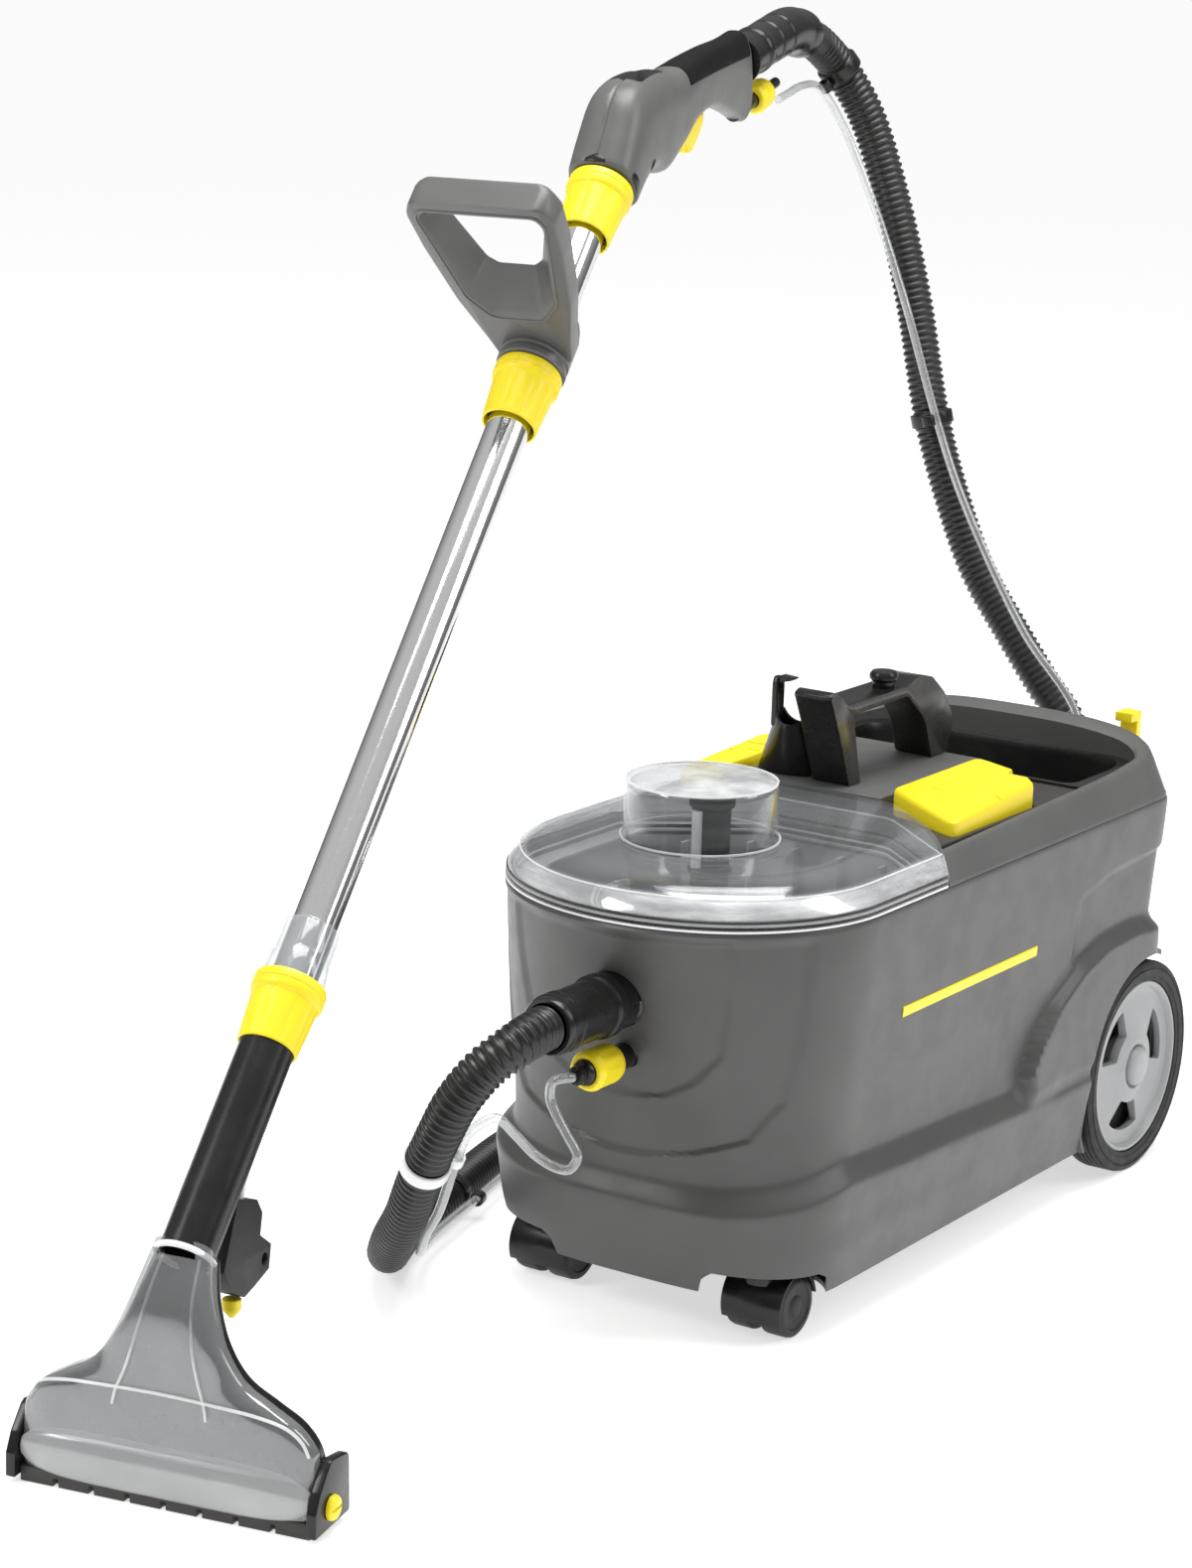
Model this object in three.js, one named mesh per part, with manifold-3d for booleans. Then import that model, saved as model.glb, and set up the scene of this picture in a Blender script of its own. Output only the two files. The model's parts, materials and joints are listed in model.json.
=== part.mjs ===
// Spot extractor: a wheeled spray-extraction cleaner with a floor wand and a suction hose.
// Millimetres, +Z up. The front faces -Y, the spray switch is on the +X side.
import * as THREE from "three";
import { mergeVertices } from "three/addons/utils/BufferGeometryUtils.js";
import Module from "manifold-3d";

const wasm = await Module();
wasm.setup();

// ---------------------------------------------------------------- driving dimensions
const GAP = 0.4; // clearance between touching pieces

const BODY_WIDTH = 316; // across the rim of the housing
const HALF = BODY_WIDTH / 2;
const FRONT_Y = -345; // foremost point of the rim
const REAR_Y = 336; // rear wall
const NOSE_Y = -194; // where the straight sides turn into the round front
const RIM_Z = 334; // parting line between housing and deck
const BOTTOM_Z = 36; // lower edge of the housing
const WALL = 4;

const WHEEL_RADIUS = 94;
const WHEEL_Y = 287;
const WHEEL_WIDTH = 38;
const WHEEL_OUTER_X = 157;
const AXLE_RADIUS = 8;
const CASTER_X = 100;
const CASTER_Y = -250; // swivel axis
const CASTER_TRAIL = 12; // the axle sits this far behind it
const CASTER_WHEEL_RADIUS = 25;

const DECK_FRONT_Z = 358; // edge of the deck beside the lid
const DECK_PANEL_Z = 360; // dark panels round the switches
const DECK_EDGE_X = 142;
const REAR_RIM_Z = 389;
const DECK_SIDE_Y = -74; // front corners of the deck
const DECK_MID_Y = -6; // its straight front edge in the middle
const DECK_SLANT = -0.84; // and how that edge runs forward beside the middle
const BIN = { x1: 122, y0: 186, y1: 298, floorZ: 262 };

const LID_TOP_Z = 371;
const DOME_RADIUS = 60;
const DOME_Y = -204;
const DOME_TOP_Z = 419;

const HOSE_DIAMETER = 35;
const CUFF_RADIUS = 23;
const CUFF_X = 6;
const CUFF_Z = 270;
const CUFF_END_Y = -417;
const SPRAY_LINE_DIAMETER = 8;
const COUPLING_RADIUS = 10;
const COUPLING_X = 10;
const COUPLING_Z = 224;
const COUPLING_END_Y = -385;
const GLAND_RADIUS = 8;
const GLAND_X = -80;
const GLAND_Z = 150;
const HOOK_X = 92;
const HOOK_Z = 358;

// The wand stands in a plane turned a little from the machine's own: local X is across the
// nozzle, local Y runs back along the floor and local Z is up.
const WAND_X = -53.8;
const WAND_Y = -777;
const WAND_TURN = THREE.MathUtils.degToRad(11.4);
const TUBE_PITCH = THREE.MathUtils.degToRad(44.5); // tube against the floor
const TUBE_FOOT = [0, 163, 308]; // middle of the lowest union nut, in the wand's frame
const TUBE_RADIUS = 17;
const NUT_LENGTH = 54;
const MID_NUT_AT = 556; // along the tube from the lowest nut
const TOP_NUT_AT = 747;
const NOZZLE_WIDTH = 240;

// ---------------------------------------------------------------- materials
const finish = (color, roughness, metalness = 0, more = {}) => () =>
  new THREE.MeshStandardMaterial({ color, roughness, metalness, ...more });
const greyPlastic = finish(0x6b6b69, 0.5);
const darkPlastic = finish(0x2b2927, 0.45);
const blackPlastic = finish(0x161514, 0.4);
const yellowPlastic = finish(0xf7dc1e, 0.42);
const lightPlastic = finish(0xb9bbbb, 0.5);
const clearPlastic = finish(0xe8eef0, 0.08, 0, { transparent: true, opacity: 0.35 });
const chrome = finish(0xdadcde, 0.12, 1);
const steel = finish(0x9a9c9e, 0.35, 1);
const rubber = finish(0x1d1d1d, 0.85);

// ---------------------------------------------------------------- solids
function closedMesh(geometry) {
  const bare = geometry.index ? geometry.toNonIndexed() : geometry.clone();
  for (const name of Object.keys(bare.attributes)) if (name !== "position") bare.deleteAttribute(name);
  const merged = mergeVertices(bare, 1e-3);
  const position = merged.attributes.position;
  const source = merged.index.array;
  const triangles = [];
  for (let i = 0; i < source.length; i += 3) {
    const [a, b, c] = [source[i], source[i + 1], source[i + 2]];
    if (a !== b && b !== c && c !== a) triangles.push(a, b, c);
  }
  return { position, triangles };
}

function signedVolume(position, triangles) {
  const corner = [new THREE.Vector3(), new THREE.Vector3(), new THREE.Vector3()];
  let total = 0;
  for (let i = 0; i < triangles.length; i += 3) {
    corner.forEach((v, k) => v.fromBufferAttribute(position, triangles[i + k]));
    total += corner[0].dot(corner[1].cross(corner[2]));
  }
  return total / 6;
}

// A closed geometry as a manifold-3d solid with its faces pointing out.
function solid(geometry) {
  const { position, triangles } = closedMesh(geometry);
  if (signedVolume(position, triangles) < 0)
    for (let i = 0; i < triangles.length; i += 3)
      [triangles[i + 1], triangles[i + 2]] = [triangles[i + 2], triangles[i + 1]];
  return new wasm.Manifold(
    new wasm.Mesh({
      numProp: 3,
      vertProperties: new Float32Array(position.array),
      triVerts: new Uint32Array(triangles),
    }),
  );
}

function geometryOf(manifold) {
  const mesh = manifold.getMesh();
  const geometry = new THREE.BufferGeometry();
  const position = new Float32Array(mesh.numVert * 3);
  for (let i = 0; i < mesh.numVert; i++)
    position.set(mesh.vertProperties.subarray(i * mesh.numProp, i * mesh.numProp + 3), i * 3);
  geometry.setAttribute("position", new THREE.BufferAttribute(position, 3));
  geometry.setIndex(new THREE.BufferAttribute(new Uint32Array(mesh.triVerts), 1));
  geometry.computeVertexNormals();
  return geometry;
}

const join = (first, ...rest) => rest.reduce((all, next) => all.add(next), first);
const cut = (first, ...rest) => rest.reduce((all, next) => all.subtract(next), first);

function moved(geometry, [x, y, z]) {
  return geometry.translate(x, y, z);
}

// A box between two corners.
function box([x0, y0, z0], [x1, y1, z1]) {
  const geometry = new THREE.BoxGeometry(x1 - x0, y1 - y0, z1 - z0);
  return solid(moved(geometry, [(x0 + x1) / 2, (y0 + y1) / 2, (z0 + z1) / 2]));
}

// A profile of [radius, height] points turned about an axis: "x", "y" or "z" through a point.
function turned(profile, segments, axis = "z", at = [0, 0, 0]) {
  const points = profile.map(([r, h]) => new THREE.Vector2(r, h));
  const geometry = new THREE.LatheGeometry(points, segments);
  if (axis === "z") geometry.rotateX(Math.PI / 2);
  if (axis === "x") geometry.rotateZ(-Math.PI / 2);
  return solid(moved(geometry, at));
}

const disc = (radius, from, to) => [[0, from], [radius, from], [radius, to], [0, to]];
const ring = (outer, inner, from, to) => [
  [inner, from], [outer, from], [outer, to], [inner, to], [inner, from],
];

// An outline of [x, y] points raised from one height to another.
function prism(outline, from, to) {
  const shape = new THREE.Shape(outline.map(([x, y]) => new THREE.Vector2(x, y)));
  const geometry = new THREE.ExtrudeGeometry(shape, { depth: to - from, bevelEnabled: false });
  return solid(moved(geometry, [0, 0, from]));
}

// An outline of [y, z] points given a thickness across X.
function plate(outline, fromX, toX) {
  const shape = new THREE.Shape(outline.map(([y, z]) => new THREE.Vector2(y, z)));
  const geometry = new THREE.ExtrudeGeometry(shape, { depth: toX - fromX, bevelEnabled: false });
  geometry.applyMatrix4(new THREE.Matrix4().set(0, 0, 1, fromX, 1, 0, 0, 0, 0, 1, 0, 0, 0, 0, 0, 1));
  return solid(geometry);
}

// A closed skin through rings of equally many points, with flat ends.
function loft(rings) {
  const count = rings[0].length;
  const position = rings.flat(2);
  const index = [];
  for (let r = 0; r + 1 < rings.length; r++)
    for (let i = 0; i < count; i++) {
      const [a, b] = [r * count + i, r * count + ((i + 1) % count)];
      index.push(a, b, b + count, a, b + count, a + count);
    }
  const cap = (start, flip) => {
    const flat = rings[start / count];
    const contour = flat.map((p) => new THREE.Vector2(...capPlane(flat, p)));
    for (const [a, b, c] of THREE.ShapeUtils.triangulateShape(contour, []))
      index.push(start + a, start + (flip ? c : b), start + (flip ? b : c));
  };
  cap(0, true);
  cap((rings.length - 1) * count, false);
  const geometry = new THREE.BufferGeometry();
  geometry.setAttribute("position", new THREE.Float32BufferAttribute(position, 3));
  geometry.setIndex(index);
  return solid(geometry);
}

// Two coordinates that keep a ring's winding when it is laid flat.
function capPlane(ringPoints, point) {
  const normal = new THREE.Vector3();
  ringPoints.forEach((p, i) => {
    const q = ringPoints[(i + 1) % ringPoints.length];
    normal.add(new THREE.Vector3(...p).cross(new THREE.Vector3(...q)));
  });
  normal.normalize();
  const across = new THREE.Vector3(Math.abs(normal.x) > 0.8 ? 0 : 1, Math.abs(normal.x) > 0.8 ? 1 : 0, 0);
  across.addScaledVector(normal, -across.dot(normal)).normalize();
  const up = normal.clone().cross(across);
  const v = new THREE.Vector3(...point);
  return [v.dot(across), v.dot(up)];
}

// A round bar or tube swept along a smooth path.
function sweptRound(points, radius, sides, steps) {
  const section = new THREE.Shape(
    Array.from({ length: sides }, (_, i) => {
      const angle = (i / sides) * 2 * Math.PI;
      return new THREE.Vector2(radius * Math.cos(angle), radius * Math.sin(angle));
    }),
  );
  const path = new THREE.CatmullRomCurve3(points.map((p) => new THREE.Vector3(...p)), false, "centripetal");
  return solid(new THREE.ExtrudeGeometry(section, { steps, bevelEnabled: false, extrudePath: path }));
}

const machine = new THREE.Group();
const wand = new THREE.Group();
wand.position.set(WAND_X, WAND_Y, 0);
wand.rotation.z = WAND_TURN;
const tubeAxis = new THREE.Group(); // local Z runs up the tube
tubeAxis.position.set(...TUBE_FOOT);
tubeAxis.rotation.x = TUBE_PITCH - Math.PI / 2;
wand.add(tubeAxis);

function add(parent, name, manifold, material) {
  const mesh = new THREE.Mesh(geometryOf(manifold), material());
  mesh.name = name;
  parent.add(mesh);
  return mesh;
}

// ---------------------------------------------------------------- housing
// The plan of the body: straight sides, a round front, rounded rear corners. A power of 2 makes
// the front a half-ellipse and a higher one makes it squarer.
const NOSE_STEPS = 12;
const REAR_CORNER = 46;
function noseCurve(half, front, z, power = 2) {
  const bent = (value) => Math.sign(value) * Math.abs(value) ** (2 / power);
  return Array.from({ length: NOSE_STEPS + 1 }, (_, i) => {
    const angle = Math.PI + (Math.PI * i) / NOSE_STEPS;
    return [half * bent(Math.cos(angle)), NOSE_Y + (NOSE_Y - front) * bent(Math.sin(angle)), z];
  });
}

function rearCurve(half, rear, z) {
  const points = [];
  for (const side of [1, -1])
    for (let i = 0; i <= 3; i++) {
      const turn = (Math.PI / 2) * (side > 0 ? i / 3 : 1 - i / 3);
      const x = side * (half - REAR_CORNER + REAR_CORNER * Math.cos(turn));
      points.push([x, rear - REAR_CORNER + REAR_CORNER * Math.sin(turn), z]);
    }
  return points;
}

const bodyPlan = (half, front, rear, z, power) => [
  ...noseCurve(half, front, z, power), ...rearCurve(half, rear, z),
];

// Height, half width, front, rear and squareness of the housing: skirt, shoulder, waist and rim.
const HOUSING_SECTIONS = [
  [BOTTOM_Z, 144, -288, 330, 3.2],
  [70, 152, -300, 336, 3],
  [112, HALF, -309, 340, 2.8],
  [144, HALF - 11, -303, 334, 2.6],
  [RIM_Z - 6, HALF, FRONT_Y, REAR_Y, 2],
  [RIM_Z, HALF, FRONT_Y, REAR_Y, 2],
];

function housingShell() {
  const outer = loft(HOUSING_SECTIONS.map(([z, ...plan]) => bodyPlan(...plan.slice(0, 3), z, plan[3])));
  const inner = loft(
    HOUSING_SECTIONS.map(([z, half, front, rear, power], i) => {
      const level = i === 0 ? z + WALL : z >= RIM_Z ? z + 1 : z;
      return bodyPlan(half - WALL, front + WALL, rear - WALL, level, power);
    }),
  );
  return outer.subtract(inner);
}

const WELL_RADIUS = WHEEL_RADIUS + 7;
const WELL_INNER_X = WHEEL_OUTER_X - WHEEL_WIDTH - 5;
const WHEEL_CENTRE = [0, WHEEL_Y, WHEEL_RADIUS];

// A pocket for each rear wheel, open below and behind.
function wheelWell(shell, side) {
  const reach = HALF - 13;
  const pocket = turned(disc(WELL_RADIUS, side * WELL_INNER_X, side * 200), 18, "x", WHEEL_CENTRE);
  const liner = turned(
    ring(WELL_RADIUS + WALL, WELL_RADIUS - 0.2, side * WELL_INNER_X, side * reach), 18, "x", WHEEL_CENTRE,
  );
  const back = turned(
    disc(WELL_RADIUS + WALL, side * (WELL_INNER_X - WALL), side * WELL_INNER_X), 18, "x", WHEEL_CENTRE,
  );
  const below = box([-200, 100, -20], [200, 420, BOTTOM_Z + 0.2]);
  const behind = box([-200, REAR_Y - 3, -20], [200, 460, 400]);
  return join(shell.subtract(pocket), join(liner, back).subtract(join(below, behind)));
}

const CASTER_WELL_RADIUS = 48;
const CASTER_WELL_TOP = 57;
const CASTER_STEM_RADIUS = 6;

// A round pocket for each caster, closed above, with a bore for its stem.
function casterWell(shell, side) {
  const at = [side * CASTER_X, CASTER_Y, 0];
  const pocket = turned(disc(CASTER_WELL_RADIUS, 20, CASTER_WELL_TOP), 14, "z", at);
  const cup = turned(disc(CASTER_WELL_RADIUS + WALL, BOTTOM_Z, CASTER_WELL_TOP + WALL), 14, "z", at);
  const skirtInside = loft([
    bodyPlan(143, -287, 330, BOTTOM_Z, 3.2), bodyPlan(150, -298, 336, 72, 3),
  ]);
  const stemBore = turned(disc(CASTER_STEM_RADIUS + GAP, 50, 100), 10, "z", at);
  return cut(join(shell, cup.intersect(skirtInside)), pocket, stemBore);
}

const frontBore = (radius, x, z) => turned(disc(radius, -420, -240), 18, "y", [x, 0, z]);
const rearBore = (radius, x, z) => turned(disc(radius, 300, 380), 12, "y", [x, 0, z]);

function baseHousing() {
  let shell = housingShell();
  for (const side of [-1, 1]) shell = casterWell(wheelWell(shell, side), side);
  return cut(
    shell,
    turned(disc(AXLE_RADIUS + GAP, -170, 170), 12, "x", WHEEL_CENTRE),
    frontBore(CUFF_RADIUS + GAP, CUFF_X, CUFF_Z),
    frontBore(COUPLING_RADIUS + GAP, COUPLING_X, COUPLING_Z),
    rearBore(GLAND_RADIUS + GAP, GLAND_X, GLAND_Z),
  );
}
add(machine, "base_housing", baseHousing(), greyPlastic);

// ---------------------------------------------------------------- deck
const DECK_BASE_Z = RIM_Z + GAP;
const POCKET_Z = 352;
const POCKET_REAR = REAR_Y - 32;
const POCKET_HALF = 136;
const SPINE_NEAR = 46; // the raised middle of the deck reaches further on the far side, under the holder
const SPINE_FAR = 92;
const SPINE_Z = 372;
const SPINE_REAR = BIN.y0 - 8;
const MID_HALF = 60;
const deckTop = (y) => DECK_FRONT_Z + (10 * (y - DECK_SIDE_Y)) / 380;
const rearLift = (x, y) =>
  THREE.MathUtils.clamp((y - 250) / 60, 0, 1) * (REAR_RIM_Z - deckTop(y)) * (1 - (Math.abs(x) / 150) ** 3);

// The deck's front edge, where it meets the lid.
const frontAt = (x) => DECK_MID_Y + Math.max(0, Math.abs(x) - MID_HALF) * DECK_SLANT;
const deckFront = (half, shift, z) => [-half, -MID_HALF, MID_HALF, half].map((x) => [x, frontAt(x) + shift, z]);
const deckPlan = (half, rear, shift, z) => [...deckFront(half, shift, z), ...rearCurve(half, rear, z)];
const onDeckTop = (drop) => ([x, y]) => [x, y, deckTop(y) + rearLift(x, y) - drop];

// The plan of the bin, grown outwards by a margin.
function binPlan(by) {
  const { x1, y0, y1 } = BIN;
  return [[-x1 - by, y0 - by], [x1 + by, y0 - by], ...rearCurve(x1 + by, y1 + by, 0).map(([x, y]) => [x, y])];
}

// A wall under the deck's front edge, between the tank and the motor.
function frontPanel() {
  const [half, bottom, top] = [HALF - 14, 246, DECK_BASE_Z + 1];
  const line = (shift) => deckFront(half, shift, 0).map(([x, y]) => [x, y]);
  return prism([...line(1), ...line(1 + WALL).reverse()], bottom, top);
}

function topDeck() {
  const outer = loft([
    deckPlan(HALF - 1, REAR_Y - 1, 1, DECK_BASE_Z),
    deckPlan(HALF - 2, REAR_Y - 2, 1, DECK_BASE_Z + 4),
    deckPlan(DECK_EDGE_X, REAR_Y - 10, 1, 0).map(onDeckTop(0)),
    deckPlan(POCKET_HALF, POCKET_REAR, 1, 0).map(onDeckTop(4)),
  ]);
  const pocket = loft([
    deckPlan(POCKET_HALF, POCKET_REAR, -8, POCKET_Z), deckPlan(POCKET_HALF, POCKET_REAR, -8, REAR_RIM_Z + 10),
  ]);
  const spineFront = [-SPINE_FAR, -MID_HALF, SPINE_NEAR].map((x) => [x, frontAt(x) + 1]);
  const spinePlan = [...spineFront, [SPINE_NEAR, SPINE_REAR], [-SPINE_FAR, SPINE_REAR]];
  const spine = prism(spinePlan, POCKET_Z - 1, SPINE_Z);
  const binHole = prism(binPlan(4), 300, POCKET_Z + 1);
  return join(cut(outer, pocket), spine, frontPanel()).subtract(binHole);
}
add(machine, "top_deck", topDeck(), greyPlastic);

// Switch outlines in plan, as distances from the middle: a slanted block with a tab at its outer rear
// corner. The far one is narrower, as the accessory holder takes up the room beside it.
const SWITCHES = {
  spray: {
    side: 1, inner: SPINE_NEAR, middle: [92, 57],
    outline: [[53, 4], [131, -34], [131, 100], [120, 113], [100, 115], [96, 130], [53, 148]],
  },
  suction: {
    side: -1, inner: SPINE_FAR, middle: [114, 57],
    outline: [[97, -17], [131, -34], [131, 100], [126, 113], [118, 115], [115, 130], [97, 140]],
  },
};
const SWITCH_BOTTOM = 359;
const SWITCH_TOP = 381;
const mirrored = (outline, side) => outline.map(([x, y]) => [side * x, y]);
const grown = (outline, [x0, y0], by) =>
  outline.map(([x, y]) => [x + Math.sign(x - x0) * by, y + Math.sign(y - y0) * by]);

function switchSurround({ side, inner, middle, outline }) {
  const start = inner + GAP;
  const outer = POCKET_HALF - GAP;
  const corners = [start, MID_HALF, outer].filter((x) => x >= start);
  const front = corners.map((x) => [x, frontAt(x) + 3]);
  const plan = [...front, [outer, SPINE_REAR - GAP], [start, SPINE_REAR - GAP]];
  const slab = prism(mirrored(plan, side), POCKET_Z + GAP, DECK_PANEL_Z);
  return slab.subtract(prism(mirrored(grown(outline, middle, 1.5), side), 340, 400));
}

function footSwitch({ side, outline }) {
  const block = prism(mirrored(outline, side), SWITCH_BOTTOM, SWITCH_TOP);
  const slant = plate([[-60, 400], [-60, 366], [-24, SWITCH_TOP], [-10, 400]], -150, 150);
  return block.subtract(slant);
}
for (const [name, shape] of Object.entries(SWITCHES)) {
  add(machine, `${name}_switch_surround`, switchSurround(shape), darkPlastic);
  add(machine, `${name}_switch`, footSwitch(shape), yellowPlastic);
}

// An open box let into the deck behind the handle, with a flange that fills the deck's pocket.
function storageBin() {
  const flange = loft([
    deckPlan(POCKET_HALF - GAP, POCKET_REAR - GAP, 0, POCKET_Z + GAP),
    deckPlan(POCKET_HALF - GAP, POCKET_REAR - GAP, 0, DECK_PANEL_Z + 1),
  ]).subtract(box([-200, -200, 300], [200, SPINE_REAR + GAP, 400]));
  const tub = prism(binPlan(3), BIN.floorZ - 3, DECK_PANEL_Z);
  return join(flange, tub).subtract(prism(binPlan(0), BIN.floorZ, 400));
}
add(machine, "storage_bin", storageBin(), blackPlastic);

// ---------------------------------------------------------------- handle and accessory holder
const HANDLE_FOOT = SPINE_Z + GAP;
const [HANDLE_FAR, HANDLE_NEAR] = [-30, 6];
// A bar on two legs: the front leg leans forward and ends in a fin above the bar.
const HANDLE_OUTLINE = [
  [14, HANDLE_FOOT], [-6, 420], [-22, 452], [-14, 456], [-2, 448], [6, 441], [104, 441], [122, 447],
  [146, 444], [170, 426], [188, 400], [177, HANDLE_FOOT], [152, HANDLE_FOOT], [138, 408], [106, 429],
  [16, 428], [17, 418], [32, HANDLE_FOOT],
];
function carryHandle() {
  const knob = turned(disc(12, 440, 455), 16, "z", [-10, 92, 0]);
  return join(plate(HANDLE_OUTLINE, HANDLE_FAR, HANDLE_NEAR), knob);
}
add(machine, "carry_handle", carryHandle(), blackPlastic);

// A cup beside the front leg that takes the bend of the wand. It leans with the leg, narrows upwards,
// is round in front and flat behind, and has a hooked horn on its far side.
const CUP_TOP = 428;
const CUP_NEAR = HANDLE_FAR - GAP;
const CUP_WALL = 3.5;
function cupRing(z, inset) {
  const rise = (z - HANDLE_FOOT) / (CUP_TOP - HANDLE_FOOT);
  const half = 30.5 - 13.5 * rise;
  const back = 34 - 14 * rise - inset;
  const depth = 20 + 4 * rise - 2 * inset;
  return Array.from({ length: 11 }, (_, i) => {
    const angle = Math.PI * (1 + i / 10);
    return [CUP_NEAR - half + (half - inset) * Math.cos(angle), back + depth * Math.sin(angle), z];
  });
}
function accessoryHolder() {
  const cup = loft([cupRing(HANDLE_FOOT, 0), cupRing(CUP_TOP, 0)]);
  const room = loft([cupRing(HANDLE_FOOT + 4, CUP_WALL), cupRing(CUP_TOP + 2, CUP_WALL)]);
  const horn = box([-64, 7, CUP_TOP - 6], [-60, 17, 456]);
  const hook = box([-64, 7, 451], [-48, 17, 456]);
  return join(cup.subtract(room), horn, hook);
}
add(machine, "accessory_holder", accessoryHolder(), blackPlastic);

// ---------------------------------------------------------------- lid and dirty-water tank
const tankPlan = (half, front, shift, z, power) => [
  ...noseCurve(half, front, z, power), ...deckFront(half, shift, z).reverse(),
];
const LID_BASE_Z = RIM_Z + GAP + 3;

// Inset and height of the lid's skin from its flange to its flat top.
const LID_SECTIONS = [[0, LID_BASE_Z], [0, 344], [9, 357], [20, 366], [44, LID_TOP_Z]];
function lid() {
  const skin = (thick, shift) =>
    loft(
      LID_SECTIONS.map(([inset, z], i) => {
        const level = i === 0 && thick ? z - 1 : z - thick * Math.min(i, 1);
        return tankPlan(HALF - 1 - inset - thick, FRONT_Y + 1 + inset + thick, shift - thick, level);
      }),
    );
  const dome = turned(
    [[0, LID_TOP_Z - 2], [DOME_RADIUS + 1, LID_TOP_Z - 2], [DOME_RADIUS, DOME_TOP_Z - 3],
      [DOME_RADIUS - 3, DOME_TOP_Z], [0, DOME_TOP_Z]],
    24, "z", [0, DOME_Y, 0],
  );
  const domeInside = turned(
    disc(DOME_RADIUS - 2.5, LID_TOP_Z - 8, DOME_TOP_Z - 2.5), 24, "z", [0, DOME_Y, 0],
  );
  return cut(join(skin(0, 0), dome), skin(2.5, 0), domeInside);
}
add(machine, "lid", lid(), clearPlastic);

function lidSeal() {
  const band = (inset, z0, z1) =>
    loft([
      tankPlan(HALF - inset, FRONT_Y + inset, -inset, z0), tankPlan(HALF - inset, FRONT_Y + inset, -inset, z1),
    ]);
  const [low, high] = [RIM_Z + GAP, LID_BASE_Z - GAP];
  return band(1, low, high).subtract(band(9, low - 1, high + 1));
}
add(machine, "lid_seal", lidSeal(), rubber);

function dirtyTank() {
  const skin = (thick, floor) =>
    loft([
      tankPlan(130 - thick, -284 + thick, -8 - thick, floor, 2.6),
      tankPlan(HALF - 9 - thick, -334 + thick, -8 - thick, RIM_Z - 8 + thick, 2),
    ]);
  const inlet = turned(disc(CUFF_RADIUS - 4, -345, -290), 16, "y", [CUFF_X, 0, CUFF_Z]);
  return cut(skin(0, 160), skin(3, 163), inlet);
}
add(machine, "dirty_water_tank", dirtyTank(), lightPlastic);

const PIPE_X = 10;
const standpipe = turned(ring(15, 12, 163 + GAP, 408), 12, "z", [PIPE_X, DOME_Y, 0]);
add(machine, "suction_standpipe", standpipe, blackPlastic);
const floatRing = turned(ring(34, 16, 292, 312), 16, "z", [PIPE_X, DOME_Y, 0]);
add(machine, "float_ring", floatRing, darkPlastic);

// A hooded box behind the hose inlet that turns the dirty water down into the tank.
function inletDeflector() {
  const outside = box([CUFF_X - 34, -304, 252], [CUFF_X + 28, -266, 318]);
  const inside = box([CUFF_X - 31, -310, 240], [CUFF_X + 25, -269, 314]);
  return outside.subtract(inside);
}
add(machine, "inlet_deflector", inletDeflector(), blackPlastic);

function freshTank() {
  const plan = (thick, z) => [
    ...noseCurve(128 - thick, -276 + thick, z, 2.8), [128 - thick, -44 - thick, z], [thick - 128, -44 - thick, z],
  ];
  return loft([plan(0, 72), plan(0, 156)]).subtract(loft([plan(3, 75), plan(3, 157)]));
}
add(machine, "fresh_water_tank", freshTank(), lightPlastic);

// ---------------------------------------------------------------- motor and pump
const MOTOR_Y = 84;
const FLOOR_Z = BOTTOM_Z + WALL + GAP;
function suctionMotor() {
  const profile = [
    [0, FLOOR_Z], [46, FLOOR_Z], [46, 124], [64, 130], [64, 196], [60, 196], [60, 136], [6, 136], [6, 110], [0, 110],
  ];
  return turned(profile, 20, "z", [0, MOTOR_Y, 0]);
}
add(machine, "suction_motor", suctionMotor(), blackPlastic);

function turbineFan() {
  const at = [0, MOTOR_Y, 0];
  const shaft = turned(disc(5, 112, 170), 12, "z", at);
  let fan = join(shaft, turned(disc(54, 142, 146), 20, "z", at));
  const blades = 8;
  for (let i = 0; i < blades; i++) {
    const blade = new THREE.BoxGeometry(44, 2.5, 18).translate(31, 0, 154);
    blade.rotateZ((i / blades) * 2 * Math.PI + 0.1).translate(...at);
    fan = fan.add(solid(blade));
  }
  return fan;
}
add(machine, "turbine_fan", turbineFan(), steel);
const pumpBody = join(
  box([-128, 20, FLOOR_Z], [-80, 110, 96]), turned(disc(20, 110, 150), 16, "y", [-104, 0, 68]),
);
add(machine, "water_pump", pumpBody, blackPlastic);

// ---------------------------------------------------------------- rear wheels
function tyre(side) {
  const [inner, outer] = [WHEEL_OUTER_X - WHEEL_WIDTH, WHEEL_OUTER_X - 3];
  const radius = WHEEL_RADIUS;
  const rim = radius - 17.5;
  const profile = [
    [rim, inner + 2], [radius - 6, inner], [radius, inner + 9],
    [radius, outer - 9], [radius - 6, outer], [rim, outer - 2], [rim, inner + 2],
  ];
  return turned(profile.map(([r, x]) => [r, side * x]), 24, "x", WHEEL_CENTRE);
}

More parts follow.
